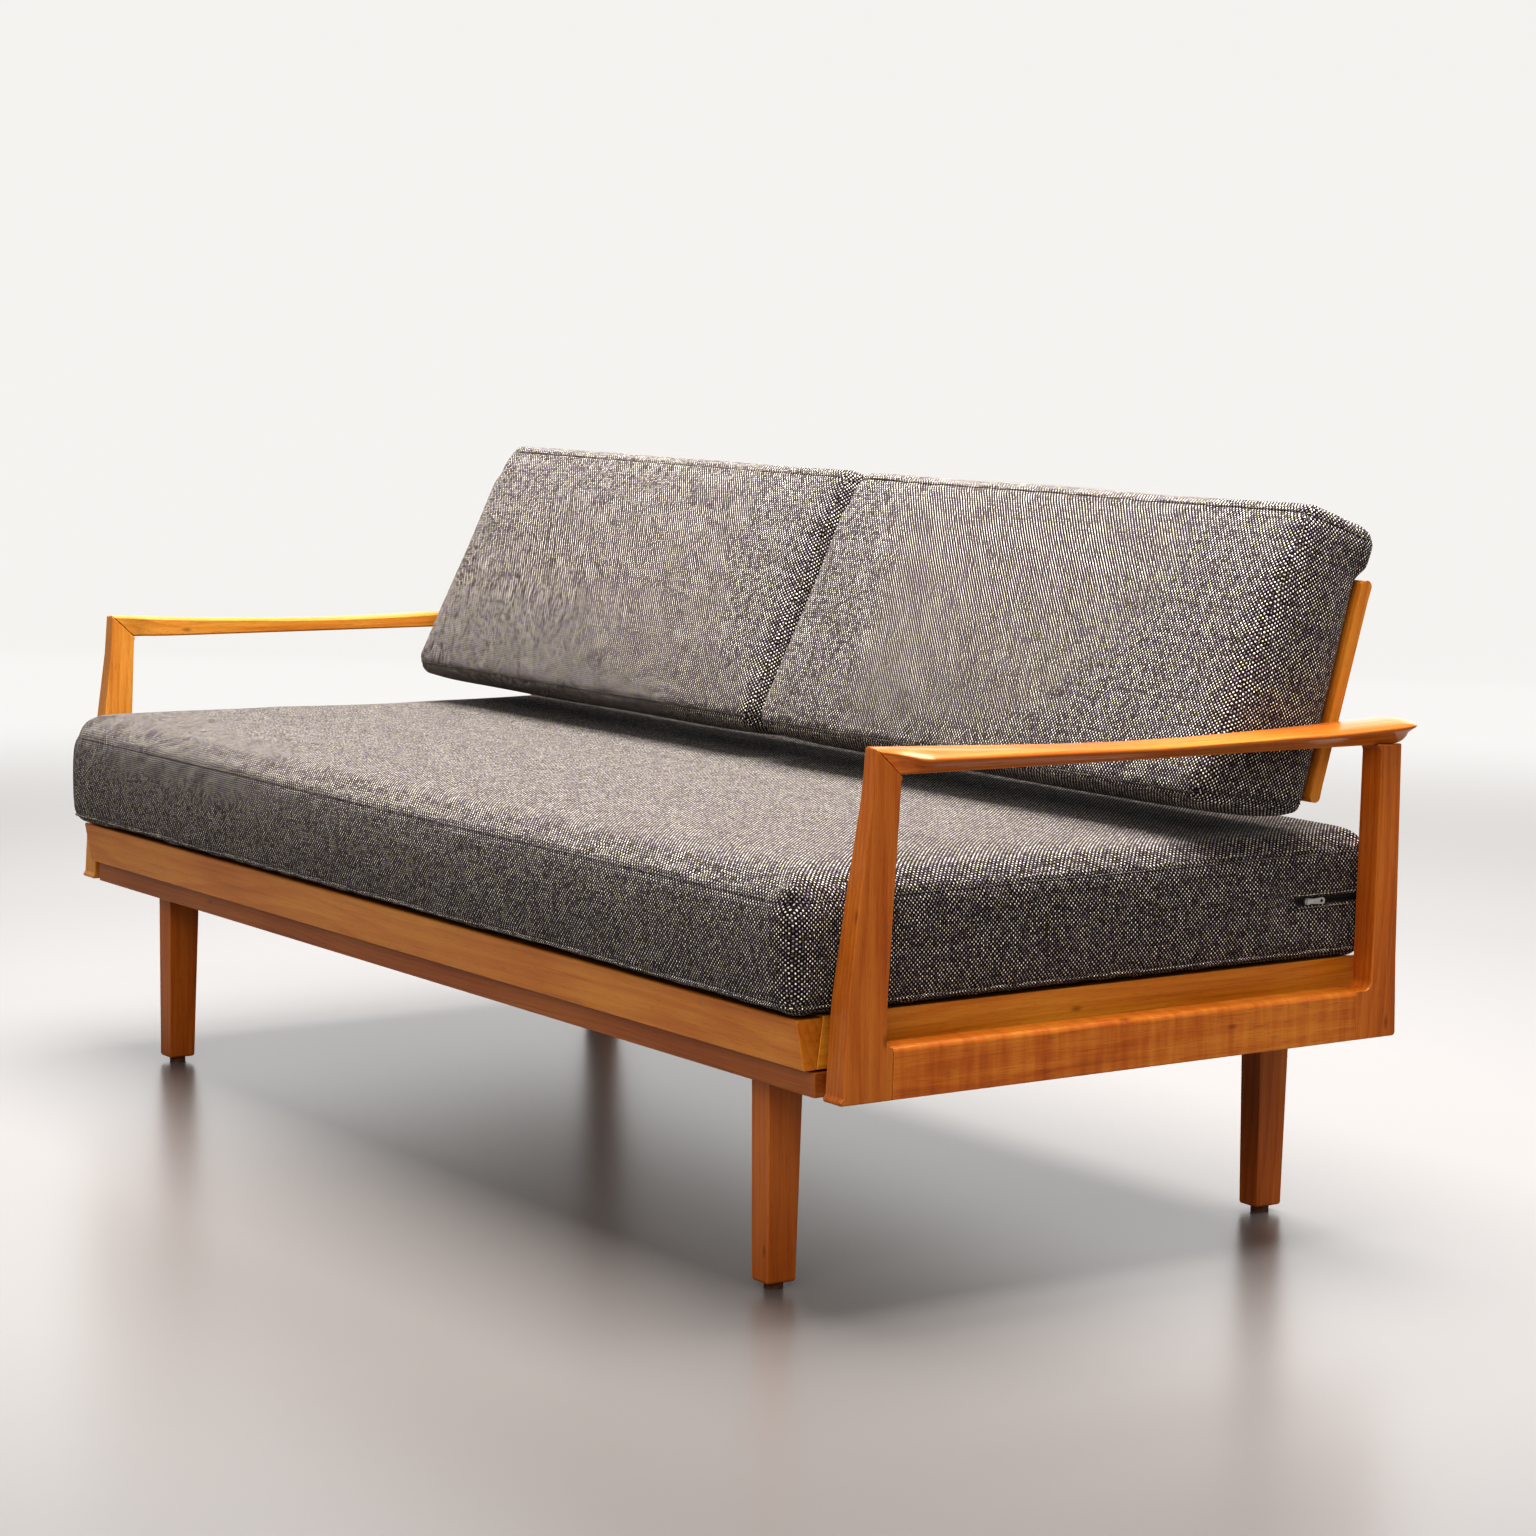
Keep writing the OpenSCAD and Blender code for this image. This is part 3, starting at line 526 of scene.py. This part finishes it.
def apply_modifier(ob, kind, **settings):
    made = ob.modifiers.new(kind, kind)
    for key, value in settings.items():
        setattr(made, key, value)
    old, new = ob.data, evaluated_copy(ob)
    ob.modifiers.clear()
    ob.data = new
    bpy.data.meshes.remove(old)


FAR = 1e9


def distance_to_lines(co, lines):
    """Each point's distance to the nearest of several chains of points."""
    best = np.full(len(co), FAR)
    for line in lines:
        for a, b in zip(line[:-1], line[1:]):
            d = b - a
            t = np.clip((co - a) @ d / (d @ d), 0, 1)
            best = np.minimum(best, np.linalg.norm(co - a - t[:, None] * d, axis=1))
    return best


def nearest_line(co, lines, reach):
    """The same as distance_to_lines, worked out only within about reach of the lines."""
    points = np.concatenate(lines)
    samples = points[::max(1, len(points) // 400)]
    spacing = 0.03
    at_once = 20000
    coarse = np.full(len(co), FAR)
    for first in range(0, len(co), at_once):
        part = co[first:first + at_once]
        squares = ((part[:, None, :] - samples[None]) ** 2).sum(-1)
        coarse[first:first + at_once] = np.sqrt(squares.min(1))
    near = coarse < reach + spacing
    out = np.full(len(co), FAR)
    out[near] = distance_to_lines(co[near], lines)
    return out


def swell(ob, pins, cap, pressure=4.0, frames=20):
    """Cloth under pressure, held along its seams. No point moves further than about cap."""
    start = points_of(ob.data)
    group = ob.vertex_groups.new(name="pins")
    for i, weight in enumerate(pins):
        if weight > 0.01:
            group.add([i], float(weight), "REPLACE")
    cloth = ob.modifiers.new("cloth", "CLOTH")
    cloth.settings.quality = 4
    cloth.settings.mass = 0.3
    cloth.settings.tension_stiffness = cloth.settings.compression_stiffness = 12
    cloth.settings.shear_stiffness = 4
    cloth.settings.bending_stiffness = 0.6
    cloth.settings.use_pressure = True
    cloth.settings.uniform_pressure_force = pressure
    cloth.settings.vertex_group_mass = "pins"
    cloth.settings.effector_weights.gravity = 0
    cloth.point_cache.frame_start, cloth.point_cache.frame_end = 1, frames
    for f in range(1, frames + 1):
        scene.frame_set(f)
    dg = bpy.context.evaluated_depsgraph_get()
    end = points_of(ob.evaluated_get(dg).data)
    ob.modifiers.clear()
    ob.vertex_groups.clear()
    scene.frame_set(1)
    move = end - start
    far = np.linalg.norm(move, axis=1, keepdims=True) + 1e-9
    set_points(ob.data, start + move * (cap * np.tanh(far / cap) / far))


def fall_off(distance, width):
    return np.exp(-(distance / width) ** 2)


def ring_line(low, high, radius, height, step=0.012):
    """Points round a rectangle with rounded corners in plan; height gives z at (x, y)."""
    corners = [(high[0] - radius, high[1] - radius, 0), (low[0] + radius, high[1] - radius, 90),
               (low[0] + radius, low[1] + radius, 180), (high[0] - radius, low[1] + radius, 270)]
    plan = []
    for cx, cy, start in corners:
        for k in range(7):
            a = math.radians(start + 15 * k)
            plan.append((cx + radius * math.cos(a), cy + radius * math.sin(a)))
    plan.append(plan[0])
    points = []
    for (x0, y0), (x1, y1) in zip(plan[:-1], plan[1:]):
        n = max(1, int(math.hypot(x1 - x0, y1 - y0) / step))
        points += [(x0 + (x1 - x0) * k / n, y0 + (y1 - y0) * k / n) for k in range(n)]
    points.append(plan[0])
    return np.array([(x, y, height(x, y)) for x, y in points])


def ripple(co, scale, seed, waves=9):
    """Smooth seeded unevenness of about -1 to 1, from waves in many directions."""
    rng = np.random.default_rng(seed)
    total = np.zeros(len(co))
    for _ in range(waves):
        direction = rng.normal(size=3)
        direction *= scale * rng.uniform(0.5, 1.4) / np.linalg.norm(direction)
        total += np.sin(co @ direction + rng.uniform(0, 2 * math.pi))
    return total / math.sqrt(waves)


def tree_of(ob):
    bpy.context.view_layer.update()
    return BVHTree.FromObject(ob, bpy.context.evaluated_depsgraph_get())


def on_surface(tree, line, lift=0.0):
    """The line's points moved to the nearest places on a surface, or lift above them."""
    out = []
    for p in line:
        hit, normal, _, _ = tree.find_nearest(Vector(p))
        out.append(np.array(hit + normal * lift))
    return np.array(out)


# A direction that no seam runs in, so that every tube has a steady sideways direction
NO_LINE_RUNS = Vector((0.13, 0.21, 0.97))


def tube(name, line, radius, closed, body, slot, material, sides=6):
    """A thin cord of fabric or thread that follows a line, whose last point repeats its first
    where it is closed."""
    n = len(line)
    rows = n - 1 if closed else n
    verts, faces = [], []
    for i in range(rows):
        ahead = line[(i + 1) % rows] if closed else line[min(i + 1, n - 1)]
        behind = line[(i - 1) % rows] if closed else line[max(i - 1, 0)]
        t = Vector(ahead - behind).normalized()
        side = t.cross(NO_LINE_RUNS).normalized()
        up = side.cross(t)
        for k in range(sides):
            a = 2 * math.pi * k / sides
            verts.append(Vector(line[i]) + radius * (math.cos(a) * side + math.sin(a) * up))
    for i in range(rows if closed else rows - 1):
        j = (i + 1) % rows
        for k in range(sides):
            m = (k + 1) % sides
            faces.append((i * sides + k, i * sides + m, j * sides + m, j * sides + k))
    if not closed:
        faces.append(tuple(range(sides))[::-1])
        faces.append(tuple((rows - 1) * sides + k for k in range(sides)))
    mesh = bpy.data.meshes.new(name)
    mesh.from_pydata(verts, [], faces)
    mesh.update()
    mesh.shade_smooth()
    return add_piece(name, mesh, body, slot, material)


def stretched(values, low, high):
    """The same values spread to reach from low to high."""
    return low + (values - values.min()) * (high - low) / np.ptp(values)


# How far the cover is drawn in at its seams and corners, and how far it puckers and wanders.
# The waves are in radians per metre.
SEAM_DEPTH, SEAM_WIDTH = 1.5 * MM, 4.5 * MM
SEAM_SHADE_WIDTH = 3.0 * MM
PINCH_DEPTH, PINCH_WIDTH = 5.0 * MM, 13 * MM
PUCKER_HEIGHT, PUCKER_WAVES, PUCKER_PLACE = 1.0 * MM, 190.0, 0.012
DRIFT_HEIGHT, DRIFT_WAVES = 0.6 * MM, 26.0
PIN_WIDTH = 7 * MM
SOFTEN = 4


def soft_piece(
    node, name, material, voxel, inset, cap, lines, cuts, pinches, shape, keep_clear
):
    """A stuffed piece, made from the CAD solid: remeshed with even voxels and softened, shaped,
    blown up as cloth that its seam lines hold, and kept clear of its neighbours. Then its seams
    are drawn in with small puckers beside them, and its corners with pinches. Inset is taken off
    before the swelling, cap is the most it swells, and cuts are seams that hold nothing. Returns
    the seams' paths and the finished surface's search tree."""
    mesh = frame["nodes"][node].data.copy()
    mesh.name = name
    ob = bpy.data.objects.new(name, mesh)
    scene.collection.objects.link(ob)
    bm = bmesh.new()
    bm.from_mesh(mesh)
    bmesh.ops.remove_doubles(bm, verts=bm.verts, dist=WELD)
    bm.to_mesh(mesh)
    bm.free()
    apply_modifier(ob, "REMESH", mode="VOXEL", voxel_size=voxel)
    apply_modifier(ob, "SMOOTH", factor=0.5, iterations=SOFTEN)
    co, no = points_of(ob.data), normals_of(ob.data)
    set_points(ob.data, shape(co - no * inset))
    co = points_of(ob.data)
    near = nearest_line(co, [on_surface(tree_of(ob), line) for line in lines], 0.03)
    pins = fall_off(near, PIN_WIDTH)
    swell(ob, np.where(pins > 0.25, pins, 0), cap)
    apply_modifier(ob, "SUBSURF", levels=1, render_levels=1)
    set_points(ob.data, keep_clear(points_of(ob.data)))
    co, no = points_of(ob.data), normals_of(ob.data)
    seams = [on_surface(tree_of(ob), line) for line in lines + cuts]
    near = nearest_line(co, seams, 0.04)
    close = near < 0.05
    pucker = np.zeros(len(co))
    beside = fall_off(near[close] - PUCKER_PLACE, PUCKER_PLACE)
    pucker[close] = ripple(co[close], PUCKER_WAVES, 3) * beside
    drift = ripple(co, DRIFT_WAVES, 1)
    pinch = np.zeros(len(co))
    for p in pinches:
        reach = np.linalg.norm(co - np.array(p), axis=1)
        pinch = np.maximum(pinch, fall_off(reach, PINCH_WIDTH))
    push = DRIFT_HEIGHT * drift + PUCKER_HEIGHT * pucker
    push = push - SEAM_DEPTH * fall_off(near, SEAM_WIDTH) - PINCH_DEPTH * pinch
    set_points(ob.data, keep_clear(co + no * push[:, None]))
    # Painted shade for the cover, strongest in the seams' grooves and the pinched corners
    attribute = ob.data.attributes.new("seam", "FLOAT", "POINT")
    seam_and_pinch_shade = np.maximum(fall_off(near, SEAM_SHADE_WIDTH), 0.8 * pinch ** 2)
    attribute.data.foreach_set("value", seam_and_pinch_shade.astype(np.float32))
    ob.data.materials.clear()
    ob.data.materials.append(material)
    ob.data.shade_smooth()
    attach(ob, BODY_OF[node])
    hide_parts(node)
    return seams, tree_of(ob)


cover = weave("cover_mattress", tone=1.2)
# The cushions' cover is the mattress's weave with its flecks 1.35 times brighter: painted light for the stronger
# light on the cushions' upturned fronts
cover_back_painted_light = weave("cover_cushions_painted_light", lean=LEAN, tone=1.62)
piping = weave("cover_seams")
welt = weave("cover_welt", tone=2.0, pitch=2.2 * MM)


def build_mattress():
    """The mattress fills the space between the arms, is crowned where the cushions leave it room,
    and lies flat behind the zip and on the slats."""
    low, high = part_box("mattress")
    zip_low, zip_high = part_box("zip_tape")
    zip_z = (zip_low.z + zip_high.z) / 2
    slats_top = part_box("seat_side_rail_right")[1].z
    arm_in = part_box("arm_rear_post_right")[0].x
    half_width, half_limit = arm_in - 1.6 * MM, arm_in - 1.5 * MM
    front_bulge, rear_bulge = 3 * MM, 8 * MM
    top_seam, foot_seam = high.z - 14 * MM, low.z + 10 * MM
    lines = [
        ring_line(
            (low.x + 1 * MM, low.y + 1 * MM), (high.x - 1 * MM, high.y - 1 * MM), 34 * MM,
            lambda x, y: z,
        )
        for z in (top_seam, foot_seam)
    ]
    flap_y = zip_low.y - 7 * MM
    flap = np.array([
        (high.x, flap_y + t * 3 * MM, top_seam + (zip_z - top_seam) * t)
        for t in np.linspace(0, 1, 20)
    ])
    pinches = [(side * (high.x - 12 * MM), low.y + 12 * MM, top_seam) for side in (-1, 1)]

    def near_edge(depth):
        return np.exp(-np.maximum(depth, 0) / 0.02)

    def shape(co):
        ends, front = high.x - abs(co[:, 0]), co[:, 1] - low.y
        inner = np.minimum(ends, front)
        level = np.clip((co[:, 2] - low.z) / (high.z - low.z), 0, 1)
        barrel = 4 * level * (1 - level)
        at_end, at_front, at_back = near_edge(ends), near_edge(front), near_edge(high.y - co[:, 1])
        foot = np.exp(-level / 0.12)
        co[:, 2] += 30 * MM * level ** 3 * (1 - np.exp(-np.maximum(inner, 0) / 0.035))
        co[:, 2] -= 7 * MM * foot * np.maximum(np.maximum(at_end, at_front), at_back)
        co[:, 0] += np.sign(co[:, 0]) * (6 * barrel + 7 * foot) * MM * at_end
        co[:, 1] -= (4 * barrel + 6 * foot) * MM * at_front
        co[:, 1] += 6 * MM * np.maximum(foot, level ** 4) * at_back
        return filled(co)

    def filled(co):
        co[:, 0] = stretched(co[:, 0], -half_width, half_width)
        co[:, 1] = stretched(co[:, 1], low.y - front_bulge, high.y + rear_bulge)
        return co

    def keep_clear(co):
        filled(co)
        co[:, 2] = np.maximum(co[:, 2], slats_top + 0.6 * MM)
        # The cushions come down to 14 mm above the mattress, and only behind y = 0.10
        over = np.maximum(co[:, 2] - high.z, 0)
        crown = (13.9 + 14 * np.clip((0.10 - co[:, 1]) / 0.22, 0, 1) ** 1.3) * MM
        co[:, 2] += crown * np.tanh(over / crown) - over
        # The end is flat round the zip, whose slider runs just outside it
        flat = np.clip((co[:, 1] - zip_low.y + 0.05) / 0.03, 0, 1)
        flat *= np.clip((0.05 - abs(co[:, 2] - zip_z)) / 0.03, 0, 1) * (co[:, 0] > 0.5)
        over = np.maximum(co[:, 0] - zip_low.x + 0.3 * MM, 0)
        co[:, 0] -= flat * over
        co[:, 0] = np.clip(co[:, 0], -half_limit, half_limit)
        return co

    seams, tree = soft_piece(
        "mattress", "mattress_cover", cover, 9 * MM, 0, 9 * MM, lines, [flap], pinches,
        shape, keep_clear,
    )
    body, slot = "seat", "mattress_fabric"
    top_line = on_surface(tree, seams[0], -0.1 * MM)
    tube("mattress_seam_1", top_line, 0.9 * MM, True, body, slot, piping)
    welt_r = 2.2 * MM
    welt_x = arm_in - welt_r - 0.6 * MM
    welt_line = on_surface(tree, seams[1], 1.2 * MM)
    welt_line[:, 0] = np.clip(welt_line[:, 0], -welt_x, welt_x)
    tube("mattress_seam_2", welt_line, welt_r, True, body, slot, welt, 8)
    build_zip(tree, zip_low, zip_high, zip_z, flap_y)


def surface_path(tree, points, lift=0.0):
    """Points laid on a surface, with the surface's normals."""
    hits = [tree.find_nearest(Vector(p))[:2] for p in points]
    return [(p + n * lift, n) for p, n in hits]


def sweep(path, profile):
    """Vertices and faces of a closed profile of (across, out) carried along a path on a surface."""
    verts, faces = [], []
    n, m = len(path), len(profile)
    for i, (p, normal) in enumerate(path):
        t = (path[min(i + 1, n - 1)][0] - path[max(i - 1, 0)][0]).normalized()
        across = normal.cross(t).normalized()
        out = t.cross(across)
        verts += [p + across * a + out * o for a, o in profile]
    for i in range(n - 1):
        for k in range(m):
            q = (k + 1) % m
            faces.append((i * m + k, i * m + q, (i + 1) * m + q, (i + 1) * m + k))
    faces.append(tuple(range(m))[::-1])
    faces.append(tuple((n - 1) * m + k for k in range(m)))
    return verts, faces


def merged(name, parts, body, slot, material, stands_for=()):
    """One piece from several sets of vertices and faces."""
    verts, faces = [], []
    for part_verts, part_faces in parts:
        faces += [tuple(i + len(verts) for i in f) for f in part_faces]
        verts += part_verts
    mesh = bpy.data.meshes.new(name)
    mesh.from_pydata(verts, [], faces)
    mesh.update()
    bm = bmesh.new()
    bm.from_mesh(mesh)
    bmesh.ops.recalc_face_normals(bm, faces=bm.faces)
    bm.to_mesh(mesh)
    bm.free()
    shade(mesh, 50)
    return add_piece(name, mesh, body, slot, material, stands_for)


def oval(a, b, sides):
    turns = (2 * math.pi * k / sides for k in range(sides))
    return [(a * math.cos(turn), b * math.sin(turn)) for turn in turns]


def dashes(path, dash=3, gap=2, radius=0.38 * MM):
    """A row of stitches, each of them dash steps of the path long."""
    return [
        sweep(path[i:i + dash + 1], oval(radius, radius, 6))
        for i in range(0, len(path) - dash, dash + gap)
    ]


def tape_cloth():
    s = Shade("zip_tape_cloth")
    x, y, z = s.split(object_place(s))
    zigzag = s.mul(s.math("PINGPONG", z, 1 * MM), 0.8)
    ribs = s.math("SINE", s.mul(s.add(y, zigzag), 7000.0))
    fuzz = s.noise(s.vector(s.mul(x, 900), s.mul(y, 900), s.mul(z, 900)))
    return s.finish(
        Base_Color=s.blend(s.remap(ribs, -1, 1), (0.008, 0.006, 0.006), (0.030, 0.024, 0.023)),
        Roughness=s.remap(fuzz, 0.3, 0.7, 0.7, 0.95),
        Normal=s.bump(s.add(ribs, fuzz), 0.1 * MM, 0.6),
    )


def build_zip(tree, zip_low, zip_high, zip_z, flap_y):
    """The zip in its slit: tape, coil, the two lips of cover beside it and their stitches."""
    x = zip_low.x
    end = zip_high.y + 22 * MM
    body, slot = "seat", SLOT_OF["zip_tape"]
    cloth = tape_cloth()

    def along(z, y0, y1, step, lift=0.0):
        count = max(2, round((y1 - y0) / step))
        points = [(x, y0 + (y1 - y0) * k / count, z) for k in range(count + 1)]
        return surface_path(tree, points, lift)

    half, under, over = 6 * MM, -0.6 * MM, 0.5 * MM
    flat = [
        (-half, under), (half, under), (half, over), (5.4 * MM, 0.75 * MM),
        (-5.4 * MM, 0.75 * MM), (-half, over),
    ]
    tape = sweep(along(zip_z, flap_y + 2 * MM, end, 3 * MM), flat)
    merged("zip_tape_piece", [tape], body, slot, cloth, ["zip_tape"])

    tooth = 1.5
    coil = along(zip_z, flap_y + 4 * MM, end, 0.6 * MM, 0.85 * MM)
    line = [p + Vector((0, 0, (tooth if i % 2 else -tooth) * MM)) for i, (p, _) in enumerate(coil)]
    tube("zip_coil", np.array(line), 0.35 * MM, False, body, slot, cloth, 5)

    lip_place, stitch_place = 6.7 * MM, 7.3 * MM
    lips, stitches = [], []
    for side in (-1, 1):
        lip = along(zip_z + side * lip_place, flap_y + 1 * MM, end + 6 * MM, 3 * MM)
        lips.append(sweep(lip, oval(2.6 * MM, 2.2 * MM, 12)))
        row = along(zip_z + side * stitch_place, flap_y + 3 * MM, end, 1 * MM, 2.1 * MM)
        stitches += dashes(row)
    merged("zip_lips", lips, body, "mattress_fabric", piping)

    # Three short slanting stitches below the zip's start
    for k, tilt in enumerate((-2.5, 1.0, 3.5)):
        y0 = flap_y + (4 + 3.5 * k) * MM
        points = [
            (x, y0 + t * tilt * MM, zip_z - (13 + 4.0 * t) * MM) for t in (0, 0.33, 0.66, 1)
        ]
        row = surface_path(tree, points, 0.3 * MM)
        stitches.append(sweep(row, oval(0.4 * MM, 0.4 * MM, 6)))
    merged("zip_stitches", stitches, body, slot, plastic("thread_light", (0.50, 0.45, 0.36), 0.6))


def build_cushion(side):
    """A back cushion. It is shaped in the backrest's own axes: x, then y square to the frame and
    z up along it, both from the backrest's pivot."""
    node = "cushion_" + side
    sign = 1 if side == "right" else -1
    cos_lean, sin_lean = math.cos(LEAN), math.sin(LEAN)

    def to_frame(co):
        y, z = co[:, 1] - PIVOT.y, co[:, 2] - PIVOT.z
        return np.stack([co[:, 0], y * cos_lean - z * sin_lean, y * sin_lean + z * cos_lean], 1)

    def from_frame(co):
        y, z = co[:, 1], co[:, 2]
        return np.stack([
            co[:, 0], PIVOT.y + y * cos_lean + z * sin_lean, PIVOT.z - y * sin_lean + z * cos_lean
        ], 1)

    solid = to_frame(points_of(frame["nodes"][node].data))
    lo, hi = solid.min(0), solid.max(0)
    top_front_y = solid[solid[:, 2] > hi[2] - 3 * MM, 1].min() - 18 * MM
    end = hi[0] if sign > 0 else lo[0]
    armrest_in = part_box("armrest_right")[0].x
    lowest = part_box("mattress")[1].z + 14 * MM
    stile = to_frame(points_of(frame["nodes"]["backrest_stile_right"].data))
    frame_top = stile[:, 2].max() + 2 * MM

    # The stuffed cushion fills its box to the corners and bulges out in front and at the top
    span = sorted((sign * 1 * MM, sign * (armrest_in - 2 * MM)))
    bottom, top, front = lo[2] - 2 * MM, hi[2] + 10 * MM, lo[1] - 14 * MM

    def front_y(z):
        return front + (top_front_y - front) * (z - bottom) / (top - bottom)

    def back_y(z):
        """Flat against the frame, and bulging over its top."""
        over = np.clip((z - frame_top) / 0.02, 0, 1)
        return hi[1] + (-0.2 + 13 * over * over * (3 - 2 * over)) * MM

    def filled(p):
        p[:, 0] = stretched(p[:, 0], *span)
        p[:, 2] = stretched(p[:, 2], bottom, top)
        p[:, 1] = hi[1] + (p[:, 1] - hi[1]) * (hi[1] - front) / (hi[1] - p[:, 1].min())
        return p

    edge = 14 * MM
    lines = []
    for z_front, z_back in ((top - edge, top - 24 * MM), (bottom + edge, bottom + 38 * MM)):
        y_front = front_y(z_front) + 1 * MM
        line = ring_line(
            (span[0] + 1 * MM, y_front), (span[1] - 1 * MM, hi[1] - 1 * MM), 24 * MM,
            lambda x, y: z_front + (z_back - z_front) * (y - y_front) / (hi[1] - y_front),
        )
        lines.append(from_frame(line))
    pinches = from_frame(np.array([
        (x, front_y(z) + 9 * MM, z) for x in (span[0] + 10 * MM, span[1] - 10 * MM)
        for z in (top - edge, bottom + edge)
    ]))

    def shape(co):
        p = to_frame(co)
        across, depth, level = np.clip((p - lo) / (hi - lo), 0, 1).T
        barrel = (4 * level * (1 - level)) ** 0.6
        bow = (4 * across * (1 - across)) ** 0.5
        behind = np.maximum(p[:, 1] - front_y(p[:, 2]), 0)
        p[:, 1] -= (2 + 6 * barrel * bow) * MM * np.exp(-behind / 0.03)
        p[:, 0] += sign * 7 * MM * barrel * np.exp(-abs(end - p[:, 0]) / 0.02)
        p = filled(p)
        p[:, 1] += (back_y(p[:, 2]) - hi[1]) * depth
        return from_frame(p)

    def keep_clear(co):
        p = filled(to_frame(co))
        p[:, 1] = np.minimum(p[:, 1], back_y(p[:, 2]))
        co = from_frame(p)
        co[:, 2] = np.maximum(co[:, 2], lowest)
        return co

    seams, tree = soft_piece(
        node, f"cushion_{side}_cover", cover_back_painted_light, 7.5 * MM, 1 * MM, 10 * MM, lines, [], pinches,
        shape, keep_clear,
    )
    for k, (seam, radius) in enumerate(zip(seams, (0.9 * MM, 1.3 * MM))):
        line = on_surface(tree, seam, 0.1 * MM)
        tube(f"cushion_{side}_seam_{k + 1}", line, radius, True, node, "cushion_fabric", piping)


build_mattress()
for side in SIDES:
    build_cushion(side)

# ---------------------------------------------------------------- stage and light


def lathe(name, profile, material, centre=False, turns=96):
    """A stage surface turned round the z axis from (radius, z) pairs, with its centre filled."""
    bm = bmesh.new()
    angles = [2 * math.pi * k / turns for k in range(turns)]
    rings = [
        [bm.verts.new((r * math.cos(a), r * math.sin(a), z)) for a in angles] for r, z in profile
    ]
    if centre:
        bm.faces.new(rings[0])
    for a, b in zip(rings[:-1], rings[1:]):
        for k in range(turns):
            m = (k + 1) % turns
            bm.faces.new((a[k], b[k], b[m], a[m]))
    mesh = bpy.data.meshes.new(name)
    bm.to_mesh(mesh)
    bm.free()
    mesh.shade_smooth()
    mesh.materials.append(material)
    ob = bpy.data.objects.new(name, mesh)
    scene.collection.objects.link(ob)
    return ob


FLOOR_EDGE, COVE_START, COVE_RADIUS = 2.6, 8.4, 1.6


def build_stage():
    """A pale glossy floor that turns into a self-lit backdrop further out. Only the camera sees
    the backdrop, so that it neither lights the object nor shows in its gloss."""
    s = Shade("stage_pale")
    x, y, z = s.split(s.node("NewGeometry").outputs["Position"])
    reach = s.math("SQRT", s.add(s.mul(x, x), s.mul(y, y)))
    far = s.node(
        "MapRange", {"Value": reach, "From Min": 2.2, "From Max": 5.4},
        interpolation_type="SMOOTHSTEP",
    ).outputs[0]
    near = s.blend(s.remap(reach, 1.2, 2.2), (0.205, 0.192, 0.188), (0.160, 0.151, 0.148))
    s.finish(
        Base_Color=s.blend(far, near, (0.03, 0.03, 0.03)), Roughness=s.remap(far, 0, 1, 0.30, 0.9),
        Specular_IOR_Level=s.remap(far, 0, 1, 0.5, 0.0),
        Emission_Color=(1.0, 0.985, 0.965, 1), Emission_Strength=s.mul(far, 0.63),
    )
    lathe("stage_floor", [(0.9, 0), (FLOOR_EDGE, 0)], s.material, centre=True)
    cove = [
        (COVE_START + COVE_RADIUS * math.sin(a), COVE_RADIUS - COVE_RADIUS * math.cos(a))
        for a in (math.radians(10 * k) for k in range(1, 10))
    ]
    profile = [(FLOOR_EDGE, 0), (5, 0), (COVE_START, 0), *cove, (COVE_START + COVE_RADIUS, 7.0)]
    backdrop = lathe("stage_backdrop", profile, s.material)
    backdrop.visible_diffuse = backdrop.visible_glossy = backdrop.visible_shadow = False


def area_light(name, place, target, size, watts, colour=(1, 1, 1)):
    data = bpy.data.lights.new(name, "AREA")
    data.shape = "RECTANGLE"
    data.size, data.size_y = size
    data.energy = watts
    data.color = colour
    ob = bpy.data.objects.new(name, data)
    scene.collection.objects.link(ob)
    ob.location = place
    ob.rotation_euler = (Vector(target) - Vector(place)).to_track_quat("-Z", "Y").to_euler()
    ob.visible_camera = False


WARM = (1, 0.985, 0.96)


def build_light():
    """Soft studio light: a large box above, a weak one behind on the left and one in front."""
    world = bpy.data.worlds.new("studio")
    scene.world = world
    world.use_nodes = True
    background = world.node_tree.nodes["Background"]
    background.inputs["Color"].default_value = (1.0, 0.99, 0.975, 1)
    background.inputs["Strength"].default_value = 0.31
    area_light("top_box", (0.0, 0.4, 4.4), (0, 0.1, 0.4), (4.6, 3.6), 480, WARM)
    area_light("back_box", (-4.6, 4.0, 2.0), (0, 0, 0.5), (7.0, 3.6), 85)
    area_light("front_box", (3.6, -3.4, 3.0), (0, 0, 0.4), (4.5, 2.0), 88, WARM)
    scene.view_settings.view_transform = "Standard"
    scene.view_settings.look = "High Contrast"


build_stage()
build_light()
